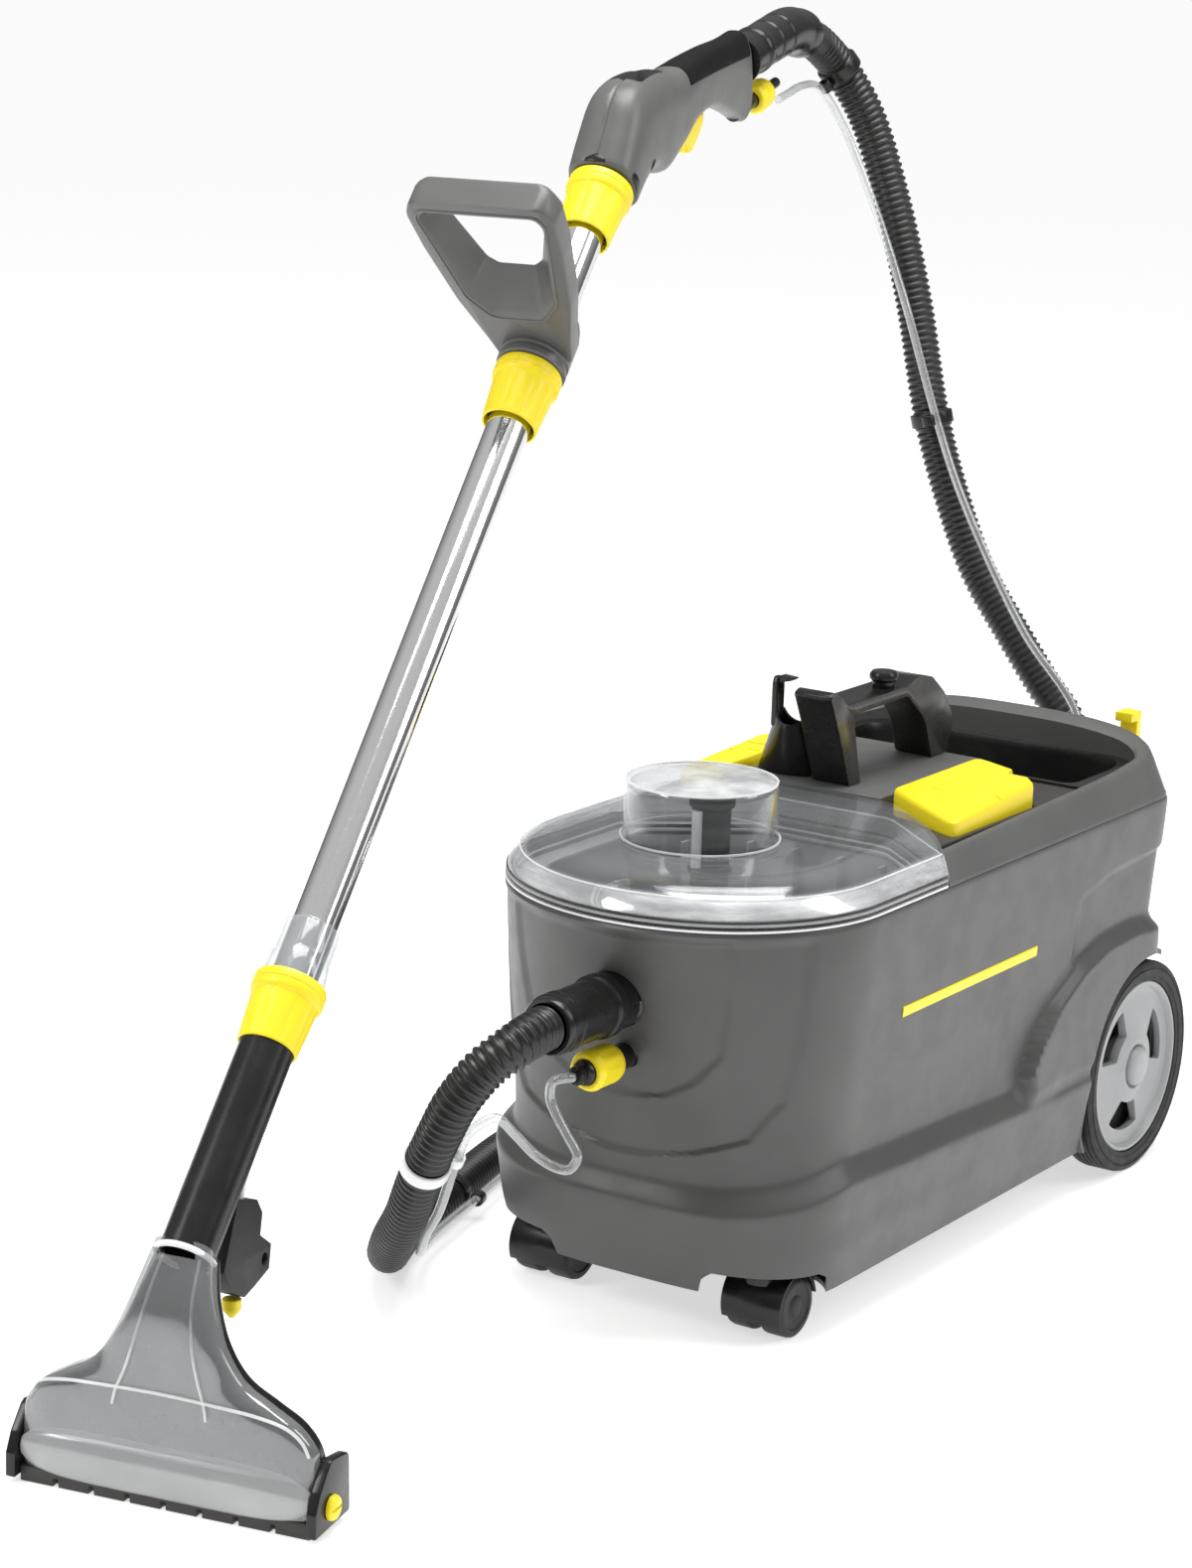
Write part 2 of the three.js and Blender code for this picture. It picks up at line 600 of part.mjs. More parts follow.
function wheelDisc(side) {
  const radius = WHEEL_RADIUS - 17.5 - GAP;
  const inner = WHEEL_OUTER_X - WHEEL_WIDTH + 3;
  const face = WHEEL_OUTER_X - 9;
  const profile = [
    [AXLE_RADIUS + GAP, inner], [26, inner], [26, face - 8], [radius - 10, face - 8], [radius - 10, inner + 2],
    [radius, inner + 2], [radius, face + 3], [radius - 5, face + 3], [radius - 9, face - 2], [30, face],
    [AXLE_RADIUS + GAP, face], [AXLE_RADIUS + GAP, inner],
  ];
  let web = turned(profile.map(([r, x]) => [r, side * x]), 24, "x", WHEEL_CENTRE);
  for (const turn of [20, 140, 260]) web = web.subtract(beanHole(side, THREE.MathUtils.degToRad(turn)));
  return web;
}

// A bean-shaped window between two radii of the wheel.
function beanHole(side, middle) {
  const [inside, outside, spread] = [32, 58, 0.52];
  const arc = (radius, from, to) =>
    Array.from({ length: 5 }, (_, i) => {
      const angle = middle + from + ((to - from) * i) / 4;
      return [WHEEL_Y + radius * Math.cos(angle), WHEEL_RADIUS + radius * Math.sin(angle)];
    });
  const outline = [...arc(outside, -spread, spread), ...arc(inside, spread * 0.8, -spread * 0.8)];
  return side > 0 ? plate(outline, 120, 170) : plate(outline, -170, -120);
}

for (const [side, name] of [[1, "near"], [-1, "far"]]) {
  add(machine, `rear_tyre_${name}`, tyre(side), rubber);
  add(machine, `wheel_disc_${name}`, wheelDisc(side), lightPlastic);
  const [from, to] = [WHEEL_OUTER_X - 8, WHEEL_OUTER_X];
  const cap = [[0, from], [17, from], [17, to - 3], [13, to], [0, to]];
  add(machine, `axle_cap_${name}`, turned(cap.map(([r, x]) => [r, side * x]), 16, "x", WHEEL_CENTRE), lightPlastic);
}
const AXLE_HALF = WHEEL_OUTER_X - 8 - GAP;
add(machine, "rear_axle", turned(disc(AXLE_RADIUS, -AXLE_HALF, AXLE_HALF), 12, "x", WHEEL_CENTRE), steel);

// ---------------------------------------------------------------- casters
const CASTER_HALF = 27;
const CASTER_HOOD = CASTER_WHEEL_RADIUS + 3;
function casterFork(side) {
  const x = side * CASTER_X;
  const axleY = CASTER_Y + CASTER_TRAIL;
  const axle = [x, axleY, CASTER_WHEEL_RADIUS];
  const stem = turned(disc(CASTER_STEM_RADIUS, 48, 69), 10, "z", [x, CASTER_Y, 0]);
  const hood = turned(ring(CASTER_HOOD, CASTER_HOOD - 2.2, -CASTER_HALF, CASTER_HALF), 18, "x", axle);
  const web = turned(disc(CASTER_HOOD - 1, -3, 3), 18, "x", axle);
  const below = box([x - 40, axleY - 40, -5], [x + 40, axleY + 40, 14]);
  const ahead = box([x - 40, axleY - 2, -5], [x + 40, axleY + 40, 30]);
  const bore = turned(disc(4 + GAP, -10, 10), 12, "x", axle);
  const neck = box([x - 9, CASTER_Y - 9, 44], [x + 9, CASTER_Y + 9, 55]);
  const inside = turned(disc(CASTER_HOOD - 2.2, -CASTER_HALF - 1, -3), 18, "x", axle);
  const insideOther = turned(disc(CASTER_HOOD - 2.2, 3, CASTER_HALF + 1), 18, "x", axle);
  return join(cut(join(hood, web, neck), below, ahead, bore, inside, insideOther), stem);
}

function casterWheels(side) {
  const at = [side * CASTER_X, CASTER_Y + CASTER_TRAIL, CASTER_WHEEL_RADIUS];
  const radius = CASTER_WHEEL_RADIUS;
  const wheel = (from, to) => turned(
    [[0, from], [radius - 3, from], [radius, from + 3 * Math.sign(to - from)],
      [radius, to - 3 * Math.sign(to - from)], [radius - 3, to], [0, to]],
    18, "x", at,
  );
  return join(turned(disc(4, -10, 10), 8, "x", at), wheel(5, CASTER_HALF - 1), wheel(-5, 1 - CASTER_HALF));
}
for (const [side, name] of [[1, "near"], [-1, "far"]]) {
  add(machine, `caster_fork_${name}`, casterFork(side), blackPlastic);
  add(machine, `caster_wheels_${name}`, casterWheels(side), rubber);
}

// ---------------------------------------------------------------- hose inlet, spray outlet, cable hook
const CUFF_ROOT_Y = -327;
const cuffProfile = [
  [19, CUFF_ROOT_Y], [CUFF_RADIUS, CUFF_ROOT_Y], [CUFF_RADIUS, -344], [CUFF_RADIUS + 2, -346],
  [CUFF_RADIUS + 2, -352], [CUFF_RADIUS, -354], [CUFF_RADIUS, CUFF_END_Y], [19, CUFF_END_Y], [19, CUFF_ROOT_Y],
];
add(machine, "hose_inlet_cuff", turned(cuffProfile, 18, "y", [CUFF_X, 0, CUFF_Z]), blackPlastic);

const SLEEVE_Y = [-370, -336];
const couplingProfile = [
  [0, -316], [COUPLING_RADIUS, -316], [COUPLING_RADIUS, -374], [5, -376], [5, COUPLING_END_Y], [0, COUPLING_END_Y],
];
add(machine, "spray_outlet", turned(couplingProfile, 16, "y", [COUPLING_X, 0, COUPLING_Z]), blackPlastic);
const sleeveProfile = (inner, outer, from, to) => [
  [inner, from], [outer - 3, from], [outer, from + 3], [outer, to - 3], [outer - 2, to], [inner, to],
  [inner, from],
];
const outletSleeve = turned(
  sleeveProfile(COUPLING_RADIUS + GAP, 16, ...SLEEVE_Y), 16, "y", [COUPLING_X, 0, COUPLING_Z],
);
add(machine, "outlet_sleeve", outletSleeve, yellowPlastic);

const glandProfile = [[3.5, 320], [GLAND_RADIUS, 320], [GLAND_RADIUS, 342], [12, 343], [9, 352], [3.5, 352], [3.5, 320]];
add(machine, "cable_gland", turned(glandProfile, 16, "y", [GLAND_X, 0, GLAND_Z]), blackPlastic);

// A folding hook for the mains lead behind the rear rim, on a pin that runs back from the deck.
function cableHook() {
  const [y0, y1] = [REAR_Y - 3.2, REAR_Y + 24];
  const root = turned(disc(9, y0, y1 - 7), 16, "y", [HOOK_X, 0, HOOK_Z]);
  const arm = box([HOOK_X - 8, y1 - 8, HOOK_Z - 8], [HOOK_X + 8, y1, HOOK_Z + 34]);
  const nose = box([HOOK_X - 8, y0 + 8, HOOK_Z + 26], [HOOK_X + 8, y1, HOOK_Z + 34]);
  return join(root, arm, nose);
}
add(machine, "cable_hook", cableHook(), yellowPlastic);

// ---------------------------------------------------------------- tube of the wand
const upTube = (name, profile, segments, material) =>
  add(tubeAxis, name, turned(profile, segments), material);
const TUBE_JOINT = MID_NUT_AT - 8;
const TUBE_TOP = TOP_NUT_AT + 12;
const tubeProfile = (from, to) => ring(TUBE_RADIUS, TUBE_RADIUS - 1.5, from, to);
upTube("lower_tube", tubeProfile(-6, TUBE_JOINT), 20, chrome);
upTube("upper_tube", tubeProfile(TUBE_JOINT + GAP, TUBE_TOP), 20, chrome);
add(tubeAxis, "spray_pipe", turned(ring(4, 2.5, -5, TUBE_TOP), 8, "z", [0, 8, 0]), steel);

// A union nut: a wide grooved flange above a tapered body.
function unionNut(at) {
  const [bottom, top] = [at - NUT_LENGTH / 2, at + NUT_LENGTH / 2];
  const bore = TUBE_RADIUS + 3.4;
  return [
    [bore, bottom], [22, bottom], [25, top - 16], [27, top - 13], [27, top - 3], [25, top],
    [bore, top], [bore, bottom],
  ];
}
upTube("bottom_nut", unionNut(0), 20, yellowPlastic);
upTube("middle_nut", unionNut(MID_NUT_AT), 20, yellowPlastic);
upTube("top_nut", unionNut(TOP_NUT_AT), 20, yellowPlastic);
const nutTop = NUT_LENGTH / 2;
upTube(
  "clear_sleeve",
  [[TUBE_RADIUS + GAP, nutTop + GAP], [23, nutTop + GAP], [20, nutTop + 46], [TUBE_RADIUS + GAP, nutTop + 46],
    [TUBE_RADIUS + GAP, nutTop + GAP]],
  20, clearPlastic,
);
for (const [name, at] of [["lower_collet", MID_NUT_AT], ["upper_collet", TOP_NUT_AT]])
  upTube(name, ring(TUBE_RADIUS + 3, TUBE_RADIUS + GAP, at - 20, at + 20), 20, blackPlastic);

// ---------------------------------------------------------------- D-handle
const D_FOOT = MID_NUT_AT + nutTop + GAP;
const D_TOP = D_FOOT + 52;
const D_REACH = 178; // from the tube's axis to the far side of the grip bar
const D_HALF_DEPTH = 13;
// Half of each outline, as distance from the middle and reach from the tube's axis.
const D_OUTLINE = [[29, -4], [35, 20], [48, 66], [58, 126], [61, 162], [54, D_REACH]];
const D_OPENING_LOW = [[23, 50], [36, 74], [51, 160], [47, 167]];
const D_OPENING_HIGH = [[16, 82], [25, 92], [41, 148], [37, 153]];
function dHandle() {
  const whole = (half) => [...half, ...half.map(([x, reach]) => [-x, reach]).reverse()];
  const level = (half, z) => whole(half).map(([x, reach]) => [x, -reach, z]);
  const middle = (D_FOOT + D_TOP) / 2;
  const loop = loft([level(D_OUTLINE, middle - D_HALF_DEPTH), level(D_OUTLINE, middle + D_HALF_DEPTH)]);
  const window = loft([
    level(D_OPENING_LOW, middle - D_HALF_DEPTH - 1), level(D_OPENING_HIGH, middle + D_HALF_DEPTH + 1),
  ]);
  const collar = turned(disc(28, D_FOOT, D_TOP), 24);
  const bore = turned(disc(TUBE_RADIUS + GAP, D_FOOT - 5, D_TOP + 5), 24);
  return cut(join(loop, collar), window, bore);
}
add(tubeAxis, "d_handle", dHandle(), greyPlastic);

// ---------------------------------------------------------------- hand grip
// Stations along the grip in the wand's upright plane: place, direction, half height, half width.
const GRIP_STATIONS = [
  [716, 851, 44.5, 28, 28], [736, 873, 47, 33, 29], [762, 893, 40, 43, 29], [802, 897, 20, 45, 27],
  [848, 904, 12, 34, 24], [905, 921, 9, 27, 21], [965, 930, 9, 26, 21], [1012, 930, 9, 34, 22],
  [1048, 932, 9, 36, 23],
];
const GRIP_SIDES = 12;
const gripRing = ([s, z, tilt, high, wide], grow = 0) =>
  Array.from({ length: GRIP_SIDES }, (_, i) => {
    const angle = (i / GRIP_SIDES) * 2 * Math.PI;
    const bent = (value) => Math.sign(value) * Math.abs(value) ** 0.7;
    const across = (wide + grow) * bent(Math.cos(angle));
    const up = (high + grow) * bent(Math.sin(angle));
    const lean = THREE.MathUtils.degToRad(tilt);
    return [across, s - up * Math.sin(lean), z + up * Math.cos(lean)];
  });

const GRIP_SPRAY = [1048, 899]; // root of the spray coupling
const COVER_REGION = [[858, 926], [1036, 946], [1036, 1000], [858, 980]];
const TRIGGER_PIVOT = [872, 886];
const TRIGGER_OUTLINE = [
  [866, 890], [920, 899], [919, 890], [908, 878], [896, 868], [886, 866], [880, 874], [866, 878],
];

const BEND_ROOT = [1048, 940];
const SPIGOT_RADIUS = 17;
const spigotBore = () => turned(disc(SPIGOT_RADIUS + GAP, -30, 30), 20).transform(gripMatrix(...BEND_ROOT));

function handleHousing() {
  const grip = loft(GRIP_STATIONS.map((station) => gripRing(station)));
  const coverRoom = plate(COVER_REGION.map(([s, z]) => [s, z - GAP]), -40, 40);
  const triggerSlot = plate([[862, 850], [862, 896], [924, 909], [924, 850]], -8, 8);
  const socket = turned(disc(TUBE_RADIUS + GAP, -20, 20), 24).transform(tubeMatrix(TUBE_TOP));
  const couplingBore = turned(disc(7 + GAP, -30, 30), 12).transform(gripMatrix(...GRIP_SPRAY));
  return cut(grip, coverRoom, triggerSlot, socket, couplingBore, spigotBore());
}

// Matrices that lay a solid turned about Z along the tube, or along the grip, in the wand's frame.
function tubeMatrix(along) {
  const matrix = new THREE.Matrix4().makeRotationX(TUBE_PITCH - Math.PI / 2);
  const [, y, z] = TUBE_FOOT;
  matrix.setPosition(0, y + along * Math.cos(TUBE_PITCH), z + along * Math.sin(TUBE_PITCH));
  return matrix.elements;
}
const GRIP_PITCH = THREE.MathUtils.degToRad(12);
function gripMatrix(s, z) {
  const matrix = new THREE.Matrix4().makeRotationX(GRIP_PITCH - Math.PI / 2);
  matrix.setPosition(0, s, z);
  return matrix.elements;
}

function gripCover() {
  const skin = loft(GRIP_STATIONS.map((station) => gripRing(station, 0.8)));
  const region = plate(COVER_REGION.map(([s, z]) => [s, z + GAP / 2]), -40, 40);
  return skin.intersect(region).subtract(spigotBore());
}
add(wand, "handle_housing", handleHousing(), greyPlastic);
add(wand, "grip_cover", gripCover(), blackPlastic);
add(wand, "trigger", plate(TRIGGER_OUTLINE, -7, 7), yellowPlastic);

const sprayInlet = turned([[0, -20], [7, -20], [7, 34], [4.5, 36], [4.5, 66], [0, 66]], 12);
add(wand, "spray_inlet", sprayInlet.transform(gripMatrix(...GRIP_SPRAY)), blackPlastic);
const inletSleeve = turned(sleeveProfile(7 + GAP, 12.5, 10, 32), 16);
add(wand, "inlet_sleeve", inletSleeve.transform(gripMatrix(...GRIP_SPRAY)), yellowPlastic);

// A swivel cuff and a bend that turns the suction path down into the hose.
const BEND_PATH = [[1053, 943], [1085, 950], [1118, 956], [1148, 959], [1175, 954.5]];
function hoseBend() {
  const points = BEND_PATH.map(([s, z]) => [0, s, z]);
  const bend = sweptRound(points, 21, 16, 8);
  const spigot = turned(disc(SPIGOT_RADIUS, -24, 8), 20).transform(gripMatrix(...BEND_ROOT));
  return join(bend, spigot);
}
add(wand, "hose_bend", hoseBend(), blackPlastic);

// ---------------------------------------------------------------- floor nozzle
// Stations of the fan from the neck down to the mouth: place, direction, half depth, half width.
const NOZZLE_HALF = NOZZLE_WIDTH / 2;
const END_THICKNESS = 7.5;
const MOUTH_Z = 12;
const FAN_STATIONS = [
  [30, 177, 44, 18, 22], [16, 150, 66, 17, 31], [9, 118, 80, 16, 46], [8, 92, 90, 17, 64],
  [9, 78, 90, 19, 96], [11, 58, 90, 20, 112], [12, MOUTH_Z, 90, 20, NOZZLE_HALF - 5],
];
const FAN_SIDES = 16;
const fanRing = ([s, z, tilt, deep, wide], thick) =>
  Array.from({ length: FAN_SIDES }, (_, i) => {
    const angle = (i / FAN_SIDES) * 2 * Math.PI;
    const bent = (value) => Math.sign(value) * Math.abs(value) ** 0.6;
    const across = (wide - thick) * bent(Math.cos(angle));
    const back = (deep - thick) * bent(Math.sin(angle));
    const lean = THREE.MathUtils.degToRad(tilt);
    return [across, s + back * Math.sin(lean), z - back * Math.cos(lean)];
  });

// The side of the fan that faces forward is a clear window.
const WINDOW_REGION = [
  [-60, 205], [40, 205], [37, 188], [18, 150], [9, 118], [8, 92], [9, 78], [11, 58], [11, -10], [-60, -10],
];
const END_OUTLINE = [[-12, 4], [-12, 26], [-4, 44], [18, 60], [40, 50], [42, 6]];
const KNOB_AT = [12, 20];
const KNOB_PIN_RADIUS = 5;

function fanShell() {
  const outside = loft(FAN_STATIONS.map((station) => fanRing(station, 0)));
  const past = FAN_STATIONS.map(() => 0);
  [past[0], past[past.length - 1]] = [3, -6];
  const inside = loft(FAN_STATIONS.map(([s, z, ...rest], i) => fanRing([s, z + past[i], ...rest], 3)));
  return outside.subtract(inside);
}

function nozzleHead() {
  const region = plate(WINDOW_REGION, -200, 200);
  let head = fanShell().subtract(region);
  head = head.add(turned(ring(20, 17, -190, -8), 20).transform(tubeMatrix(0)));
  for (const side of [-1, 1]) {
    const [inner, outer] = [NOZZLE_HALF - END_THICKNESS, NOZZLE_HALF];
    head = head.add(side > 0 ? plate(END_OUTLINE, inner, outer) : plate(END_OUTLINE, -outer, -inner));
    const bore = disc(KNOB_PIN_RADIUS + GAP, side * (inner - 5), side * (outer + 5));
    head = head.subtract(turned(bore, 12, "x", [0, ...KNOB_AT]));
  }
  return head;
}
add(wand, "nozzle_head", nozzleHead(), blackPlastic);

function nozzleWindow() {
  const region = plate(WINDOW_REGION.map(([s, z]) => [s - GAP, z]), -200, 200);
  const room = NOZZLE_HALF - END_THICKNESS - GAP;
  const inEnds = box([-room, -100, -20], [room, 100, 300]);
  const neckRoom = turned(disc(20 + GAP, -260, 0), 20).transform(tubeMatrix(0));
  return cut(fanShell().intersect(region).intersect(inEnds), neckRoom);
}
add(wand, "nozzle_window", nozzleWindow(), clearPlastic);

// The strip the nozzle rides on, with slits along its front edge.
const SLITS = 7;
function nozzleSole() {
  const half = NOZZLE_HALF - END_THICKNESS - GAP;
  let strip = box([-half, -4, 0], [half, 30, MOUTH_Z - GAP]);
  strip = strip.subtract(box([8 - half, 6, -1], [half - 8, 22, MOUTH_Z]));
  for (let i = 1; i <= SLITS; i++) {
    const x = -half + (i * 2 * half) / (SLITS + 1);
    strip = strip.subtract(box([x - 2, -5, -1], [x + 2, 2, 6]));
  }
  return strip;
}
add(wand, "nozzle_sole", nozzleSole(), darkPlastic);

for (const [side, name] of [[1, "near"], [-1, "far"]]) {
  const [root, face] = [NOZZLE_HALF - 6, NOZZLE_HALF + GAP];
  const profile = [
    [0, root], [KNOB_PIN_RADIUS, root], [KNOB_PIN_RADIUS, face], [9, face], [9, face + 3], [7, face + 5], [0, face + 5],
  ];
  const knob = turned(profile.map(([r, x]) => [r, side * x]), 12, "x", [0, ...KNOB_AT]);
  add(wand, `nozzle_knob_${name}`, knob, yellowPlastic);
}

// A bracket under the neck that holds the spray jet over the floor behind the mouth.
const BRACKET_OUTLINE = [
  [66, 150], [86, 196], [116, 188], [124, 176], [121, 160], [138, 148], [135, 130], [112, 124], [98, 121], [78, 132],
];
function jetBracket() {
  const hole = turned(disc(4.5, -20, 20), 12, "x", [0, 128, 140]);
  return plate(BRACKET_OUTLINE, -9, 9).subtract(hole);
}
add(wand, "spray_jet_bracket", jetBracket(), blackPlastic);
add(wand, "spray_jet", turned([[0, 106], [3, 106], [7, 112], [7, 120], [0, 120]], 12, "z", [0, 95, 0]), yellowPlastic);

// ---------------------------------------------------------------- suction hose and spray line
// From the inlet cuff round the front, back along the far side on the floor, and up behind to the bend.
const HOSE_ROUTE = [
  [6, -417, 270], [6, -432, 269], [1, -455, 262], [-12, -470, 247], [-30, -477, 221], [-48, -473, 191],
  [-68, -462, 160], [-86, -449, 133], [-108, -430, 102], [-138, -404, 70], [-170, -368, 40], [-202, -322, 21],
  [-222, -277, 18], [-233, -230, 18], [-245, -183, 18], [-262, -118, 18], [-275, -55, 18], [-280, 10, 18],
  [-278, 90, 18], [-270, 170, 18], [-250, 255, 18], [-220, 335, 18], [-180, 415, 20], [-130, 480, 36],
  [-82, 520, 74], [-48, 533, 132], [-30, 527, 200], [-31, 517, 270], [-48, 511, 335], [-74, 510, 366],
  [-106, 508, 408], [-147, 505, 466], [-176, 502, 531], [-200, 499, 603], [-222, 491, 714], [-243, 478, 806],
  [-265, 462, 881], [-283, 440, 923], [-290, 412, 945], [-287, 379.3, 953.6],
];

// From the spray outlet in a small loop to the hose, then clipped along it to the hand grip.
const SPRAY_ROUTE = [
  [10, -386.5, 224], [8, -393, 225], [-1, -396, 221], [-3, -396, 208], [3, -396, 196], [13, -396, 182],
  [23, -396, 167], [18, -398, 157], [6, -399, 156], [-8, -405, 164], [-18, -420, 183], [-24, -438, 199],
  [-36, -451, 189], [-55, -441, 160], [-92, -411, 102], [-121, -386, 71], [-150, -353, 40], [-180, -310, 21],
  [-198, -269, 18], [-221, -177, 18], [-250, -52, 18], [-253, 88, 18], [-226, 248, 18], [-197, 325, 18],
  [-159, 402, 20], [-113, 462, 40], [-73, 497, 78], [-44, 508, 132], [-24, 493, 268], [-29, 496, 342],
  [-90, 492, 419], [-158, 486, 537], [-185, 480, 606], [-217, 467, 712], [-248, 454, 801], [-278, 443, 871],
  [-286, 412, 905], [-281, 372, 909], [-277, 340, 903], [-275.4, 322, 899],
];
const cords = new THREE.Group();
const cord = (route, diameter, sides) => sweptRound(route, diameter / 2 - 0.2, sides, 78);
add(cords, "suction_hose", cord(HOSE_ROUTE, HOSE_DIAMETER, 8), blackPlastic);
add(cords, "spray_hose", cord(SPRAY_ROUTE, SPRAY_LINE_DIAMETER, 8), clearPlastic);

// The origin is on the floor under the middle of everything but the hose and the line.
const group = new THREE.Group();
group.add(machine, wand);
group.updateMatrixWorld(true);
const middle = new THREE.Box3().setFromObject(group, true).getCenter(new THREE.Vector3());
group.add(cords);
group.position.set(-middle.x, -middle.y, 0);
export default group;
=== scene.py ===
"""The looks of the spot extractor: a wheeled spray-extraction machine with its wand, hose and spray line.

Lengths in the builders are millimetres in one of a few local frames. Each piece's points are
turned into the part's own frame, in metres, as its mesh is made.
"""
import json
import math

import bmesh
import bpy
import numpy as np
from mathutils import Matrix, Vector


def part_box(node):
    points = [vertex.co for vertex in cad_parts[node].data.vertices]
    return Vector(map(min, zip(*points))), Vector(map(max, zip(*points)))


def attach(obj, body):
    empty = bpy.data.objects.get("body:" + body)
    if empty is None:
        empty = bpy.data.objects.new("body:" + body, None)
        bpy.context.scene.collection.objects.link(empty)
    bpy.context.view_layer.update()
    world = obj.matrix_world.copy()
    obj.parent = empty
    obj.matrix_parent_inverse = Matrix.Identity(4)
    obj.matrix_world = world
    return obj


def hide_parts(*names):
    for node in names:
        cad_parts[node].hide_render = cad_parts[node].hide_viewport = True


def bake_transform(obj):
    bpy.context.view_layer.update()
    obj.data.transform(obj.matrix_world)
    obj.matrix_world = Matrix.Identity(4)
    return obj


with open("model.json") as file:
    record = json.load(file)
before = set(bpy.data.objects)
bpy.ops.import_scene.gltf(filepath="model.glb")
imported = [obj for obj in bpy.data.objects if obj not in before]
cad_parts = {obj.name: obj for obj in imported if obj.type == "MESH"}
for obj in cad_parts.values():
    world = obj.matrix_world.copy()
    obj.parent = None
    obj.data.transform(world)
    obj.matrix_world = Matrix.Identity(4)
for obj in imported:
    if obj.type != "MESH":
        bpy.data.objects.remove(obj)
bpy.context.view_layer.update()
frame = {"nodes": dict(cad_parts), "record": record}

# ------------------------------------------------------------------ local frames, mm to metres
MM = 0.001


def middle_of(node):
    low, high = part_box(node)
    return (Vector(low) + Vector(high)) / 2


def joint(name):
    return next(j for j in frame["record"]["behaviour"]["joints"] if j["name"] == name)


def placed(x_axis, z_axis, origin):
    """A matrix from a local frame in mm to the part's frame in metres."""
    x, z = Vector(x_axis).normalized(), Vector(z_axis).normalized()
    y = z.cross(x)
    turn = Matrix((x, y, z)).transposed().to_4x4()
    return Matrix.Translation(origin) @ turn @ Matrix.Scale(MM, 4)


AXLE = middle_of("rear_axle")
AXLE_Y = 287
WHEEL_RADIUS = 94
ORIGIN = AXLE - Vector((0, AXLE_Y, WHEEL_RADIUS)) * MM
MACHINE = placed((1, 0, 0), (0, 0, 1), ORIGIN)
FOOT = Vector(joint("bottom_nut_turn")["pos_m"])
UP_TUBE = joint("bottom_nut_turn")["axis"]
ACROSS = joint("trigger_squeeze")["axis"]
TUBE = placed(ACROSS, UP_TUBE, FOOT)
WAND = placed(ACROSS, (0, 0, 1), FOOT) @ Matrix.Translation((0, -163, -308))


def along_grip(s, z):
    """The frame at a place in the wand's upright plane whose Z runs back along the hand grip."""
    return WAND @ Matrix.Translation((0, s, z)) @ Matrix.Rotation(math.radians(12 - 90), 4, "X")


def on_axis(base, axis, at=(0, 0, 0)):
    """base, moved to a point, with its Z laid along "x", "y" or "z"."""
    turns = {"z": Matrix.Identity(4), "x": Matrix(((0, 0, 1, 0), (1, 0, 0, 0), (0, 1, 0, 0), (0, 0, 0, 1))),
             "y": Matrix(((0, 1, 0, 0), (0, 0, 1, 0), (1, 0, 0, 0), (0, 0, 0, 1)))}
    return base @ Matrix.Translation(at) @ turns[axis]


WHEEL_AXIS = on_axis(MACHINE, "x", (0, AXLE_Y, WHEEL_RADIUS))
INLET_AXIS = on_axis(MACHINE, "y", (6, 0, 270))
OUTLET_AXIS = on_axis(MACHINE, "y", (10, 0, 224))
GLAND_AXIS = on_axis(MACHINE, "y", (-80, 0, 150))
SIDES = ((1, "near"), (-1, "far"))


def ends_on(side, inner, outer):
    """The lower and the higher of two places on one side of the middle."""
    return sorted((side * inner, side * outer))


# ------------------------------------------------------------------ camera, light and floor
CAMERA_AT = (1545.8, -2690.3, 1125.4)
CAMERA_LENS = 117.81
LIGHT_TARGET = (0, 0, 0.3)
WORLD_STRENGTH = 0.54
FLOOR_GLOW = 0.6


def make_camera():
    right = (0.8295, 0.5576, 0.0313)
    up = (-0.1576, 0.1799, 0.9710)
    back = (0.5358, -0.8104, 0.2371)
    data = bpy.data.cameras.new("camera")
    data.sensor_fit = "HORIZONTAL"
    data.sensor_width = 36
    data.lens = CAMERA_LENS
    data.clip_end = 400
    camera = bpy.data.objects.new("camera", data)
    turn = Matrix((right, up, back)).transposed().to_4x4()
    camera.matrix_world = Matrix.Translation(MACHINE @ Vector(CAMERA_AT)) @ turn
    bpy.context.collection.objects.link(camera)
    bpy.context.scene.camera = camera


def area_light(name, place, size, power):
    data = bpy.data.lights.new(name, "AREA")
    data.shape = "RECTANGLE"
    data.size, data.size_y = size
    data.energy = power
    light = bpy.data.objects.new(name, data)
    light.location = place
    light.rotation_euler = (Vector(LIGHT_TARGET) - Vector(place)).to_track_quat("-Z", "Y").to_euler()
    bpy.context.collection.objects.link(light)


